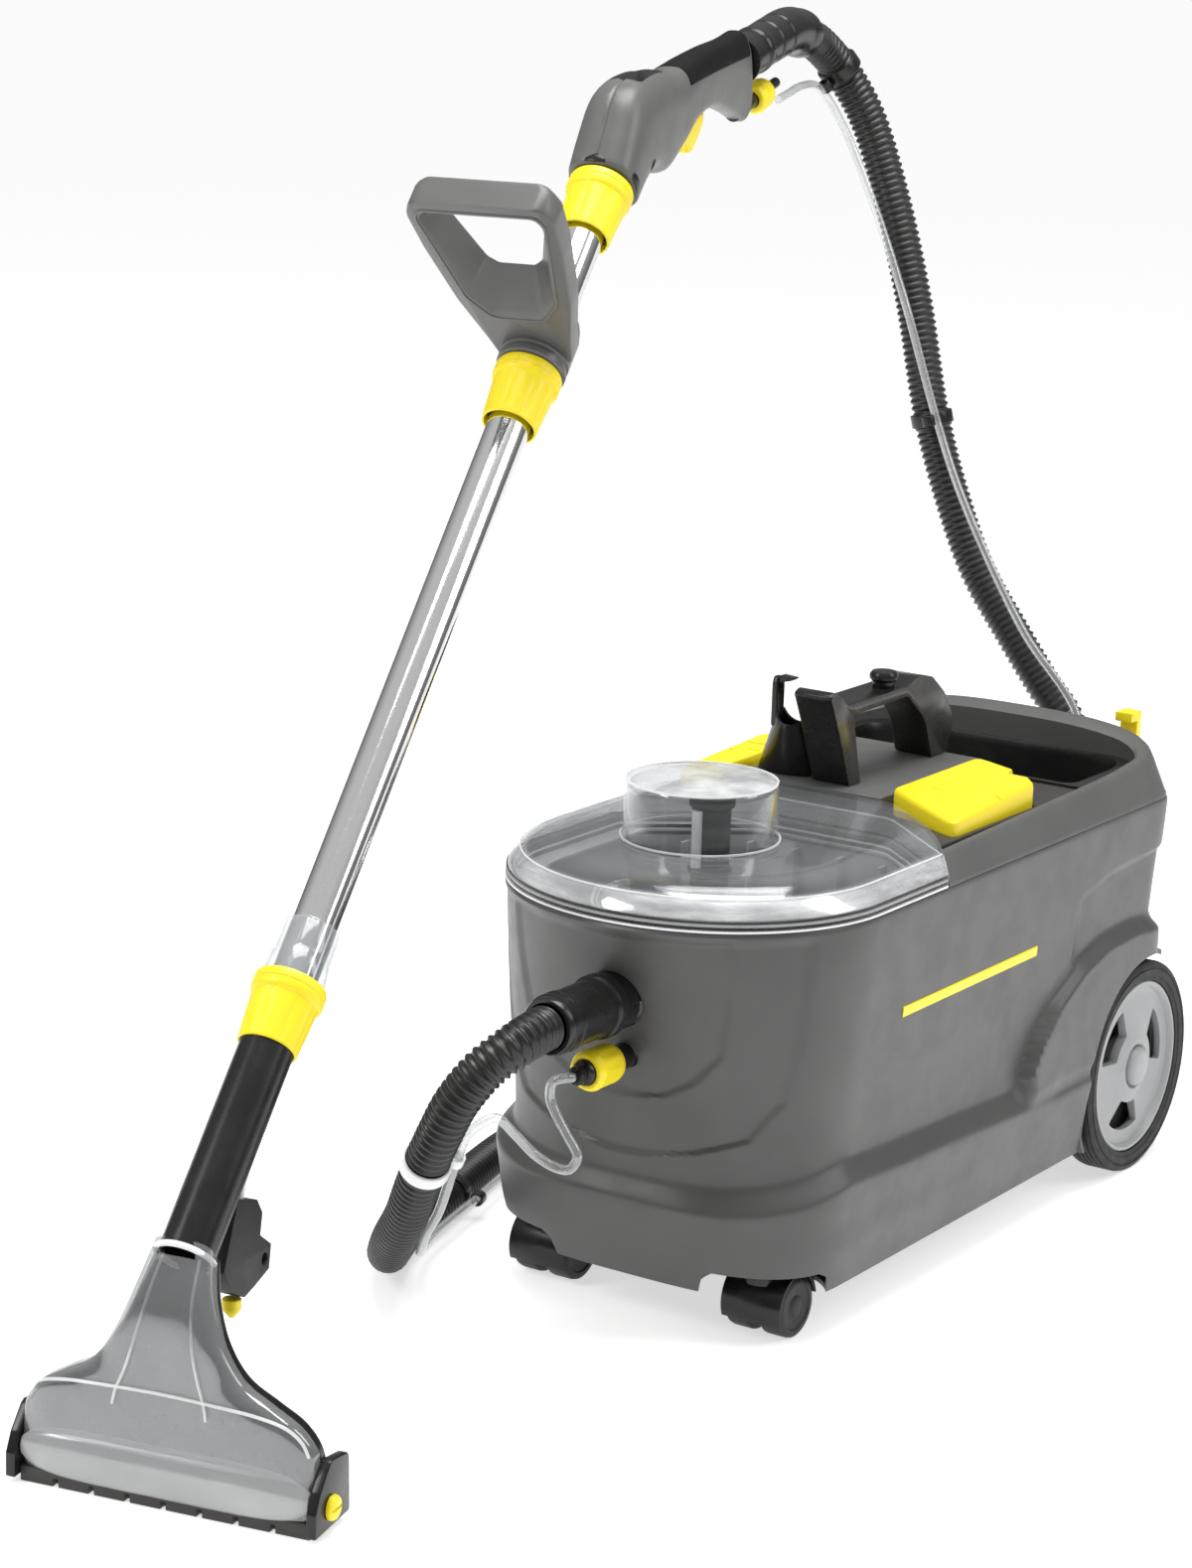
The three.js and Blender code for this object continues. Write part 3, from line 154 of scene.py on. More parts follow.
def make_world():
    """White to the eye; as a light, bright above and behind and darker round the sides."""
    world = bpy.data.worlds.new("studio")
    bpy.context.scene.world = world
    world.use_nodes = True
    nodes, links = world.node_tree.nodes, world.node_tree.links
    nodes.clear()
    output = nodes.new("ShaderNodeOutputWorld")
    light = nodes.new("ShaderNodeBackground")
    sight = nodes.new("ShaderNodeBackground")
    mix = nodes.new("ShaderNodeMixShader")
    path = nodes.new("ShaderNodeLightPath")
    place = nodes.new("ShaderNodeTexCoord")
    split = nodes.new("ShaderNodeSeparateXYZ")
    ramp = nodes.new("ShaderNodeValToRGB")
    links.new(place.outputs["Generated"], split.inputs[0])
    links.new(split.outputs["Z"], ramp.inputs[0])
    ramp.color_ramp.elements[0].position = 0.0
    ramp.color_ramp.elements[0].color = (0.2, 0.2, 0.205, 1)
    ramp.color_ramp.elements[1].position = 0.75
    ramp.color_ramp.elements[1].color = (1, 1, 1, 1)
    links.new(ramp.outputs[0], light.inputs["Color"])
    light.inputs["Strength"].default_value = WORLD_STRENGTH
    sight.inputs["Color"].default_value = (1, 1, 1, 1)
    links.new(path.outputs["Is Camera Ray"], mix.inputs[0])
    links.new(light.outputs[0], mix.inputs[1])
    links.new(sight.outputs[0], mix.inputs[2])
    links.new(mix.outputs[0], output.inputs[0])


def make_studio():
    make_world()
    area_light("key", (-1.6, -2.6, 2.6), (1.0, 1.4), 44)
    area_light("rim", (2.4, 1.2, 2.2), (0.9, 1.8), 24)
    area_light("top", (0.2, 0.2, 3.2), (1.5, 2.0), 84)
    corners = [(-60, -60, 0), (60, -60, 0), (60, 60, 0), (-60, 60, 0)]
    floor = mesh_object("floor", corners, [(0, 1, 2, 3)], Matrix.Identity(4), "floor")
    glow = floor.data.materials[0].node_tree.nodes["Principled BSDF"]
    glow.inputs["Emission Color"].default_value = (1, 1, 1, 1)
    glow.inputs["Emission Strength"].default_value = FLOOR_GLOW
    bpy.context.scene.view_settings.view_transform = "Standard"


# ------------------------------------------------------------------ materials
class Nodes:
    """A short way to write a node tree that ends in one Principled shader."""

    def __init__(self, name):
        self.material = bpy.data.materials.new(name)
        self.material.use_nodes = True
        self.tree = self.material.node_tree
        self.shader = self.tree.nodes["Principled BSDF"]
        self.place = self.node("TexCoord").outputs["Object"]

    def node(self, kind, **values):
        made = self.tree.nodes.new("ShaderNode" + kind)
        for key, value in values.items():
            if hasattr(made, key):
                setattr(made, key, value)
            else:
                made.inputs[key.replace("_", " ")].default_value = value
        return made

    def link(self, output, target):
        self.tree.links.new(output, target)

    def noise(self, scale, detail, stretch=None):
        source = self.place
        if stretch:
            mapping = self.node("Mapping")
            mapping.inputs["Scale"].default_value = stretch
            self.link(self.place, mapping.inputs["Vector"])
            source = mapping.outputs[0]
        made = self.node("TexNoise", Scale=scale, Detail=detail, Roughness=0.6)
        self.link(source, made.inputs["Vector"])
        return made.outputs["Fac"]

    def ranged(self, value, low, high, start=0.3, end=0.7):
        made = self.node("MapRange")
        made.inputs["From Min"].default_value = start
        made.inputs["From Max"].default_value = end
        made.inputs["To Min"].default_value = low
        made.inputs["To Max"].default_value = high
        self.link(value, made.inputs["Value"])
        return made.outputs[0]

    def calculated(self, operation, first, second):
        made = self.node("Math", operation=operation)
        for k, value in enumerate((first, second)):
            if isinstance(value, (int, float)):
                made.inputs[k].default_value = value
            else:
                self.link(value, made.inputs[k])
        return made.outputs[0]

    def times(self, first, second):
        return self.calculated("MULTIPLY", first, second)

    def blended(self, amount, first, second):
        made = self.node("Mix", data_type="RGBA")
        self.link(amount, made.inputs[0])
        for k, value in ((6, first), (7, second)):
            if isinstance(value, tuple):
                made.inputs[k].default_value = (*value, 1)
            else:
                self.link(value, made.inputs[k])
        return made.outputs[2]

    def bump(self, height, strength, depth, under=None):
        made = self.node("Bump", Strength=strength, Distance=depth)
        self.link(height, made.inputs["Height"])
        if under:
            self.link(under, made.inputs["Normal"])
        return made.outputs[0]


def shade(colour, by):
    return tuple(min(1.0, c * by) for c in colour)


def plastic(name, colour, rough=0.42, grain=0.12, wear=1.35, spread=0.07, specular=0.5):
    """Moulded plastic: fine spark grain, slight flow marks in its colour, and paler rubbed edges."""
    n = Nodes(name)
    flow = n.ranged(n.noise(14, 3), 0.0, 1.0)
    tone = n.blended(flow, shade(colour, 1 - spread), shade(colour, 1 + spread))
    rubbed = n.ranged(n.node("NewGeometry").outputs["Pointiness"], 0.0, 1.0, 0.53, 0.62)
    patchy = n.times(rubbed, n.ranged(n.noise(60, 5), 0.1, 0.8))
    n.link(n.blended(patchy, tone, shade(colour, wear)), n.shader.inputs["Base Color"])
    n.link(n.ranged(n.noise(38, 6), rough - 0.06, rough + 0.07), n.shader.inputs["Roughness"])
    ripple = n.bump(n.noise(22, 2), 0.1, 0.0006)
    n.link(n.bump(n.noise(1500, 2), grain, 0.0002, ripple), n.shader.inputs["Normal"])
    n.shader.inputs["Specular IOR Level"].default_value = specular
    return n.material


def clear(name, tint, least=0.05, most=0.5, rough=0.03, milk=0.2, painted_glare=()):
    """Thin clear plastic: see-through head on, mirror-like where seen at a slant. milk is its cloudy share.

    The last argument lists stretches painted white for the bright reflections the slanted skin shows there,
    as (lowest, highest, amount), with the heights in metres.
    """
    n = Nodes(name)
    n.shader.inputs["Base Color"].default_value = (*tint, 1)
    n.link(n.ranged(n.noise(30, 5), rough, rough + 0.1), n.shader.inputs["Roughness"])
    n.link(n.bump(n.noise(26, 2), 0.12, 0.0008), n.shader.inputs["Normal"])
    slant = n.node("LayerWeight", Blend=0.35).outputs["Facing"]
    haze = n.times(n.ranged(n.noise(8, 4), 0.85, 1.15), n.ranged(slant, least, most, 0.15, 1.0))
    split = n.node("SeparateXYZ")
    n.link(n.place, split.inputs[0])
    painted_white = 0.0
    # Painted reflection: between each pair of heights the skin is mixed towards an opaque near-white with
    # vertical streaks.
    for low, high, amount in painted_glare:
        above = n.ranged(split.outputs["Z"], 0.0, amount, low - 0.001, low + 0.001)
        below = n.ranged(split.outputs["Z"], 1.0, 0.0, high - 0.002, high + 0.002)
        streaks = n.ranged(n.noise(11, 4, (1, 1, 6)), 0.4, 1.25)
        painted_white = n.calculated("MAXIMUM", painted_white, n.times(n.times(above, below), streaks))
    n.link(n.times(n.calculated("SUBTRACT", 1.0, painted_white), 1 - milk), n.shader.inputs["Metallic"])
    through = n.node("BsdfTransparent")
    through.inputs[0].default_value = (0.95, 0.96, 0.965, 1)
    mix = n.node("MixShader")
    n.link(n.calculated("MAXIMUM", haze, painted_white), mix.inputs[0])
    n.link(through.outputs[0], mix.inputs[1])
    n.link(n.shader.outputs[0], mix.inputs[2])
    n.link(mix.outputs[0], n.tree.nodes["Material Output"].inputs["Surface"])
    return n.material


def metal(name, colour, rough, stretch, grain):
    """Polished or turned metal with fine lines drawn along one direction."""
    n = Nodes(name)
    lines = n.noise(900, 3, stretch)
    n.link(n.blended(n.ranged(lines, 0.0, 1.0), shade(colour, 0.93), colour), n.shader.inputs["Base Color"])
    n.shader.inputs["Metallic"].default_value = 1
    smear = n.times(n.ranged(n.noise(12, 5), 0.8, 1.3), n.ranged(lines, rough * 0.8, rough * 1.25))
    n.link(smear, n.shader.inputs["Roughness"])
    n.link(n.bump(lines, grain, 0.0001), n.shader.inputs["Normal"])
    return n.material


def rubber(name, colour, rough):
    """Dull black rubber, dusty in patches."""
    n = Nodes(name)
    dust = n.ranged(n.noise(35, 6), 0.0, 0.6)
    n.link(n.blended(dust, colour, shade(colour, 1.8)), n.shader.inputs["Base Color"])
    n.link(n.ranged(n.noise(120, 4), rough - 0.1, rough + 0.1), n.shader.inputs["Roughness"])
    n.link(n.bump(n.noise(700, 4), 0.25, 0.0003), n.shader.inputs["Normal"])
    return n.material


GREY = (0.072, 0.072, 0.0705)
BLACK = (0.011, 0.0105, 0.01)
YELLOW = (0.95, 0.76, 0.012)
# The two heights at which the clear lid looks white, its foot and the top of its dome: painted white there
# for the bright reflections its slanted skin and dome top show.
LID_PAINTED_GLARE = [(0.344, 0.3585, 0.62), (0.4165, 0.43, 0.9)]
MATERIALS = {
    # The deck's grey is the housing's grey made 1.3 times lighter: painted light, for how the upward-facing
    # deck takes the light.
    "grey": plastic("grey_shell", GREY, 0.4), "deck_lit_grey": plastic("deck_shell_lit", shade(GREY, 1.3), 0.5),
    "handle_grey": plastic("handle_shell", shade(GREY, 1.5), 0.36, wear=1.5),
    "dark": plastic("dark_panel", (0.036, 0.034, 0.032), 0.5, grain=0.25),
    "black": plastic("black_shell", shade(BLACK, 0.8), 0.26, wear=1.8, specular=0.4),
    "gloss_black": plastic("black_gloss", shade(BLACK, 0.6), 0.14, grain=0.03, wear=1.2),
    "soft_black": plastic("black_soft", shade(BLACK, 0.4), 0.6, grain=0.3, wear=1.2, specular=0.15),
    "lit_side_black": plastic("black_lit_side", (0.05, 0.05, 0.05), 0.3, wear=1.6),
    "matt_black": plastic("black_matt", shade(BLACK, 0.8), 0.55, wear=2.0),
    "yellow": plastic("yellow_shell", YELLOW, 0.4, wear=1.05, spread=0.035, grain=0.06),
    "light": plastic("light_shell", (0.35, 0.355, 0.36), 0.4, wear=1.15),
    "tank": plastic("tank_shell", (0.30, 0.30, 0.30), 0.45, wear=1.2),
    "clear": clear("clear_lid", (0.93, 0.94, 0.95), 0.04, 0.5, painted_glare=LID_PAINTED_GLARE),
    "misty": clear("misty_plastic", (0.62, 0.625, 0.625), 0.5, 0.9, 0.14, 0.75),
    # A near-white finish for thin lines on clear edges: painted highlights.
    "edge": clear("painted_edge_highlight", (0.95, 0.95, 0.95), 0.55, 0.9, 0.08, 0.9),
    "hood": clear("clear_hood", (0.5, 0.505, 0.51), 0.34, 0.85, 0.06, 0.5),
    "collar": clear("clear_collar", (0.85, 0.86, 0.865), 0.1, 0.8, 0.05, 0.4),
    "line": clear("clear_line", (0.75, 0.76, 0.76), 0.3, 0.9, 0.06, 0.5),
    # A near-white finish: the real colour of one hose clip, the jet feed and the neck ring, and a painted
    # highlight on the tank's rim band and beside the standpipe.
    "frosted_and_highlight": plastic("pale_band_and_highlight", (0.8, 0.81, 0.82), 0.3, wear=1.1),
    "chrome": metal("chromed_tube", (0.88, 0.88, 0.89), 0.09, (1, 1, 0.05), 0.05),
    "steel": metal("turned_steel", (0.5, 0.5, 0.5), 0.3, (1, 1, 0.2), 0.1),
    "rubber": rubber("tyre_rubber", (0.018, 0.018, 0.018), 0.7),
    "hose": plastic("hose_shell", shade(BLACK, 0.9), 0.34, grain=0.05, wear=3.0),
    "floor": plastic("floor_card", (0.78, 0.78, 0.78), 0.85, grain=0.02, wear=1.0, spread=0.004,
                     specular=0.1),
}


# ------------------------------------------------------------------ mesh helpers
def mesh_object(name, points, faces, place, material, sharp=38):
    """An object whose points are placed in the part's frame, with the finish that material names.

    Edges sharper than the angle stay crisp. A piece that only cuts others has no material.
    """
    grid = np.array([*points], float)
    turn = np.array(place)
    grid = grid @ turn[:3, :3].T + turn[:3, 3]
    mesh = bpy.data.meshes.new(name)
    mesh.from_pydata(grid.tolist(), [], [list(face) for face in faces])
    made = bpy.data.objects.new(name, mesh)
    bpy.context.collection.objects.link(made)
    if material:
        mesh.materials.append(MATERIALS[material])
    clean(made)
    crisp(made, sharp)
    return made


def clean(piece):
    """Merges doubled points and turns every face outwards."""
    work = bmesh.new()
    work.from_mesh(piece.data)
    bmesh.ops.remove_doubles(work, verts=work.verts, dist=1e-6)
    bmesh.ops.recalc_face_normals(work, faces=work.faces)
    work.to_mesh(piece.data)
    work.free()


def crisp(piece, angle):
    piece.data.shade_smooth()
    piece.data.set_sharp_from_angle(angle=math.radians(angle))


def modified(piece, kind, **values):
    """Adds one modifier and applies it."""
    modifier = piece.modifiers.new(kind.lower(), kind)
    for key, value in values.items():
        setattr(modifier, key, value)
    graph = bpy.context.evaluated_depsgraph_get()
    mesh = bpy.data.meshes.new_from_object(piece.evaluated_get(graph))
    piece.modifiers.clear()
    old, piece.data = piece.data, mesh
    bpy.data.meshes.remove(old)
    return piece


def boolean(piece, *others, operation="DIFFERENCE", sharp=38):
    for other in others:
        modified(piece, "BOOLEAN", object=other, operation=operation, solver="MANIFOLD")
        bpy.data.objects.remove(other)
    clean(piece)
    crisp(piece, sharp)
    return piece


def joined(piece, *others, sharp=38):
    return boolean(piece, *others, operation="UNION", sharp=sharp)


def grouped(piece, *others):
    """Several closed shells as one object, without cutting them into each other."""
    work = bmesh.new()
    for each in (piece, *others):
        work.from_mesh(each.data)
    work.to_mesh(piece.data)
    work.free()
    for other in others:
        bpy.data.objects.remove(other)
    return piece


def eased(piece, width, segments=3, angle=32, sharp=50):
    """Rounds every edge sharper than an angle."""
    modified(piece, "BEVEL", width=width * MM, segments=segments, limit_method="ANGLE",
             angle_limit=math.radians(angle), harden_normals=False, use_clamp_overlap=True)
    crisp(piece, sharp)
    return piece


def flowing(points, steps):
    """A centripetal Catmull-Rom curve through the points."""
    points = [np.array(p, float) for p in points]
    padded = [2 * points[0] - points[1], *points, 2 * points[-1] - points[-2]]
    line = []
    for p in zip(padded, padded[1:], padded[2:], padded[3:]):
        knot = np.cumsum([0.0, *(np.linalg.norm(b - a) ** 0.5 for a, b in zip(p, p[1:]))])
        for t in np.linspace(knot[1], knot[2], steps, endpoint=False):
            def mix(a, b, low, high):
                return (a * (knot[high] - t) + b * (t - knot[low])) / (knot[high] - knot[low])

            first = [mix(p[k], p[k + 1], k, k + 1) for k in range(3)]
            second = [mix(first[k], first[k + 1], k, k + 2) for k in range(2)]
            line.append(mix(second[0], second[1], 1, 2))
    line.append(points[-1])
    return np.array(line)


def filleted(outline, radius, steps=5, closed=True):
    """A 2D outline with each corner rounded. radius is one number or one per corner."""
    count = len(outline)
    radii = [radius] * count if np.isscalar(radius) else list(radius)
    made = []
    for k, (corner, r) in enumerate(zip(outline, radii)):
        here = np.array(corner, float)
        if r <= 0 or (not closed and k in (0, count - 1)):
            made.append(here)
            continue
        before = np.array(outline[k - 1], float) - here
        after = np.array(outline[(k + 1) % count], float) - here
        one, two = np.linalg.norm(before), np.linalg.norm(after)
        before, after = before / one, after / two
        half = math.acos(np.clip(before @ after, -1, 1)) / 2
        if half > math.pi / 2 - 0.02:
            made.append(here)
            continue
        run = min(r / math.tan(half), 0.48 * one, 0.48 * two)
        for step in range(steps + 1):
            t = step / steps
            first, last = here + before * run, here + after * run
            made.append((1 - t) ** 2 * first + 2 * t * (1 - t) * here + t * t * last)
    return made


def loft(name, rings, place, material, caps=True, sharp=38):
    """A skin through rings that have the same number of points each."""
    rings = [np.array(ring, float) for ring in rings]
    count = len(rings[0])
    faces = []
    for r in range(len(rings) - 1):
        for i in range(count):
            j = (i + 1) % count
            faces.append((r * count + i, r * count + j, (r + 1) * count + j, (r + 1) * count + i))
    if caps:
        faces.append(list(range(count))[::-1])
        faces.append([(len(rings) - 1) * count + i for i in range(count)])
    return mesh_object(name, np.concatenate(rings), faces, place, material, sharp)


def lathe(name, profile, place, material, segments=64, sharp=38, wobble=None):
    """A profile of (radius, height) points turned about the local Z.

    wobble(angle, height) scales the radius.
    """
    rings = []
    for r, h in profile:
        angles = np.linspace(0, 2 * math.pi, segments, endpoint=False)
        reach = np.array([r * (wobble(a, h) if wobble else 1) for a in angles])
        rings.append(np.stack([reach * np.cos(angles), reach * np.sin(angles), np.full(segments, h)], 1))
    closed = np.allclose(profile[0], profile[-1])
    return loft(name, rings, place, material, caps=not closed, sharp=sharp)


def tube_profile(outer, inner, start, end, radius=1.0):
    corners = [(inner, start), (outer, start), (outer, end), (inner, end)]
    made = filleted(corners, radius, 3)
    return [*made, made[0]]


def extruded(name, outline, low, high, place, material):
    """A 2D outline given a thickness along the local Z."""
    flat = np.array(outline, float)
    rings = [np.column_stack([flat, np.full(len(flat), level)]) for level in (low, high)]
    return loft(name, rings, place, material)


def block(name, low, high, place, material=None):
    (x0, y0, z0), (x1, y1, z1) = low, high
    return extruded(name, [(x0, y0), (x1, y0), (x1, y1), (x0, y1)], z0, z1, place, material)


def swept(name, line, radius, sides, place, material, caps=True, sharp=60):
    """A round tube along a line of points. radius is one number or one per point."""
    line = np.array(line, float)
    radii = np.full(len(line), radius) if np.isscalar(radius) else np.array(radius)
    tangent = np.gradient(line, axis=0)
    tangent /= np.linalg.norm(tangent, axis=1)[:, None]
    side = np.cross(tangent[0], (0.0, 0.0, 1.0) if abs(tangent[0][2]) < 0.9 else (1.0, 0.0, 0.0))
    angles = np.linspace(0, 2 * math.pi, sides, endpoint=False)
    rings = []
    for point, ahead, r in zip(line, tangent, radii):
        side = side - ahead * (side @ ahead)
        side /= np.linalg.norm(side)
        up = np.cross(ahead, side)
        rings.append(point + r * (np.outer(np.cos(angles), side) + np.outer(np.sin(angles), up)))
    return loft(name, rings, place, material, caps=caps, sharp=sharp)


def from_node(node, name, material, width, segments):
    """A CAD node's own shape with its flat faces merged and its edges rounded."""
    source = frame["nodes"][node]
    mesh = source.data.copy()
    made = bpy.data.objects.new(name, mesh)
    bpy.context.collection.objects.link(made)
    work = bmesh.new()
    work.from_mesh(mesh)
    bmesh.ops.remove_doubles(work, verts=work.verts, dist=1e-6)
    bmesh.ops.dissolve_limit(work, angle_limit=math.radians(1), verts=work.verts, edges=work.edges)
    work.to_mesh(mesh)
    work.free()
    mesh.materials.clear()
    mesh.materials.append(MATERIALS[material])
    return eased(made, width, segments, 28)


def placed_on(piece, body, slot, *nodes):
    """Says what a piece rides on and which CAD nodes it stands for; the slot argument is not used.

    A piece between two bodies has none here and is attached to no body.
    """
    if body:
        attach(piece, body)
    if nodes:
        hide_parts(*nodes)
    return piece


# ------------------------------------------------------------------ suction hose and spray line
HOSE_ROUTE = [
    (6, -417, 270), (6, -432, 269), (1, -455, 262), (-12, -470, 247), (-30, -477, 221), (-48, -473, 191),
    (-68, -462, 160), (-86, -449, 133), (-108, -430, 102), (-138, -404, 70), (-170, -368, 40),
    (-202, -322, 21), (-222, -277, 18), (-233, -230, 18), (-245, -183, 18), (-262, -118, 18),
    (-275, -55, 18), (-280, 10, 18), (-278, 90, 18), (-270, 170, 18), (-250, 255, 18), (-220, 335, 18),
    (-180, 415, 20), (-130, 480, 36), (-82, 520, 74), (-48, 533, 132), (-30, 527, 200), (-31, 517, 270),
    (-48, 511, 335), (-74, 510, 366), (-106, 508, 408), (-147, 505, 466), (-176, 502, 531),
    (-200, 499, 603), (-222, 491, 714), (-243, 478, 806), (-265, 462, 881), (-283, 440, 923),
    (-290, 412, 945), (-287, 379.3, 953.6),
]
SPRAY_ROUTE = [
    (10, -386.5, 224), (8, -393, 225), (-1, -396, 221), (-3, -396, 208), (3, -396, 196), (13, -396, 182),
    (23, -396, 167), (18, -398, 157), (6, -399, 156), (-8, -405, 164), (-18, -420, 183), (-24, -438, 199),
    (-36, -451, 189), (-55, -441, 160), (-92, -411, 102), (-121, -386, 71), (-150, -353, 40),
    (-180, -310, 21), (-198, -269, 18), (-221, -177, 18), (-250, -52, 18), (-253, 88, 18), (-226, 248, 18),
    (-197, 325, 18), (-159, 402, 20), (-113, 462, 40), (-73, 497, 78), (-44, 508, 132), (-24, 493, 268),
    (-29, 496, 342), (-90, 492, 419), (-158, 486, 537), (-185, 480, 606), (-217, 467, 712),
    (-248, 454, 801), (-278, 443, 871), (-286, 412, 905), (-281, 372, 909), (-277, 340, 903),
    (-275.4, 322, 899),
]
HOSE_DIAMETER = 35
LINE_DIAMETER = 8
RIB_PITCH = 6.4
# How far each of the points of one rib stands out, from 0 in the groove to 1 on the crest.
RIB_SHAPE = (0.0, 0.55, 1.0, 1.0, 0.55, 0.0)
RIB_DEPTH = 2.3
RIB_HEIGHT = 2.1


def spaced(line, gap):
    """The line again with points an even distance apart."""
    run = np.concatenate([[0], np.cumsum(np.linalg.norm(np.diff(line, axis=0), axis=1))])
    at = np.linspace(0, run[-1], max(2, round(run[-1] / gap)) + 1)
    return np.stack([np.interp(at, run, line[:, k]) for k in range(3)], 1), run[-1]


def make_cords():
    """The hose and the spray line, swept from the machine to the wand, and the clips between them."""
    steps = len(RIB_SHAPE)
    line, hose_length = spaced(flowing(HOSE_ROUTE, 16), RIB_PITCH / steps)
    radii = [HOSE_DIAMETER / 2 - RIB_DEPTH + RIB_HEIGHT * RIB_SHAPE[k % steps] for k in range(len(line))]
    hose = swept("suction_hose_ribbed", line, radii, 22, MACHINE, "hose")
    placed_on(hose, None, "black_plastic", "suction_hose")
    clips = [hose_clip(*spot) for spot in CLIP_SPOTS]
    thin, line_length = spaced(flowing(SPRAY_ROUTE, 16), 4)
    spray = swept("spray_line_tube", thin, LINE_DIAMETER / 2 - 0.2, 14, MACHINE, "line")
    placed_on(spray, None, "clear_plastic", "spray_hose")
    for cord in (hose, spray, *clips):
        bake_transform(cord)


# Where the line is clipped to the hose: points of the two routes, and which finish the clip has.
CLIP_SPOTS = [(6, 13, "frosted_and_highlight"), (37, 36, "black"), (33, 33, "black"), (14, 20, "black")]


def hose_clip(hose_point, line_point, finish):
    """A band round the hose with a small loop that holds the spray line beside it."""
    route, thin = np.array(HOSE_ROUTE, float), np.array(SPRAY_ROUTE, float)
    middle = route[hose_point]
    ahead = route[hose_point + 1] - route[hose_point - 1]
    aside = thin[line_point] - middle
    aside -= ahead * (aside @ ahead) / (ahead @ ahead)
    band = MACHINE @ Matrix.Translation(middle) @ local_axes(aside, ahead)
    outer = min(HOSE_DIAMETER / 2 + 2.2, middle[2])
    ring = lathe("clip", tube_profile(outer, HOSE_DIAMETER / 2 - 0.5, -6, 6), band, finish)
    away = min(np.linalg.norm(aside), HOSE_DIAMETER / 2 + LINE_DIAMETER)
    loop = lathe("loop", tube_profile(LINE_DIAMETER / 2 + 2, LINE_DIAMETER / 2 - 0.1, -5, 5),
                 band @ Matrix.Translation((away, 0, 0)), finish, segments=28)
    clip = grouped(ring, loop)
    clip.name = f"hose_clip_{hose_point}"
    return placed_on(clip, None, "black_plastic" if finish == "black" else "clear_plastic")


def local_axes(x_axis, z_axis):
    z = Vector(z_axis).normalized()
    x = Vector(x_axis)
    x = (x - z * x.dot(z)).normalized()
    return Matrix((x, z.cross(x), z)).transposed().to_4x4()


# ------------------------------------------------------------------ housing
HALF = 158
FRONT_Y = -345
REAR_Y = 336
NOSE_Y = -194
RIM_Z = 334
BOTTOM_Z = 36
WALL = 4
REAR_CORNER = 46
CASTER_X = 100
# Height, half width, front, rear and squareness of the plan.
HOUSING_SECTIONS = [
    (BOTTOM_Z, 144, -288, 330, 3.2), (70, 152, -300, 336, 3.0), (100, 157.5, -309, 340, 2.8),
    (106, 158, -310, 340, 2.8), (109, 157.2, -309.4, 340, 2.8), (123, 147.4, -301.6, 335, 2.6),
    (127, 146, -300.8, 334.6, 2.6), (160, 146.5, -305, 335, 2.5), (240, 152, -323, 335, 2.3),
    (RIM_Z - 8, HALF, FRONT_Y, REAR_Y, 2), (RIM_Z + 1, HALF, FRONT_Y, REAR_Y, 2),
]
HOUSING_LEVELS = flowing(HOUSING_SECTIONS, 10)
NOSE_STEPS = 120
SIDE_STEPS = 90
CORNER_STEPS = 10


def body_ring(half, front, rear, power):
    """The plan of the body: round front, straight sides, rounded rear corners.

    Each value is one number, or an array with one number per point of the ring.
    """
    count = NOSE_STEPS + 1 + 2 * SIDE_STEPS + 2 * (CORNER_STEPS + 1)
    half, front, rear, power = (np.broadcast_to(v, (count,)) for v in (half, front, rear, power))
    turn = np.linspace(math.pi, 2 * math.pi, NOSE_STEPS + 1)
    part = slice(0, NOSE_STEPS + 1)
    bent = lambda v: np.sign(v) * np.abs(v) ** (2 / power[part])
    nose = (NOSE_Y - front[part]) * bent(np.sin(turn))
    pieces = [np.column_stack([half[part] * bent(np.cos(turn)), NOSE_Y + nose])]
    along = np.linspace(0, 1, SIDE_STEPS + 2)[1:-1]
    at = NOSE_STEPS + 1
    for side in (1, -1):
        if side > 0:
            part = slice(at, at + SIDE_STEPS)
            straight = rear[part] - REAR_CORNER - NOSE_Y
            pieces.append(np.column_stack([half[part], NOSE_Y + along * straight]))
            at += SIDE_STEPS
        part = slice(at, at + CORNER_STEPS + 1)
        turn = np.linspace(0, math.pi / 2, CORNER_STEPS + 1)[::side]
        pieces.append(np.column_stack([
            side * (half[part] - REAR_CORNER + REAR_CORNER * np.cos(turn)),
            rear[part] - REAR_CORNER + REAR_CORNER * np.sin(turn),
        ]))
        at += CORNER_STEPS + 1
    part = slice(at, at + SIDE_STEPS)
    straight = rear[part] - REAR_CORNER - NOSE_Y
    pieces.append(np.column_stack([-half[part], NOSE_Y + along[::-1] * straight]))
    return np.concatenate(pieces)


def eased_step(value, low, high):
    """0 up to low, 1 from high on, and a smooth turn between them. It falls if high is below low."""
    t = np.clip((value - low) / (high - low), 0, 1)
    return t * t * (3 - 2 * t)


def section_at(z, inset=0.0):
    """The body's half width, front, rear and squareness at a height, drawn in by inset."""
    half, front, rear, power = (np.interp(z, HOUSING_LEVELS[:, 0], HOUSING_LEVELS[:, k]) for k in range(1, 5))
    return half - inset, front + inset, rear - inset, power


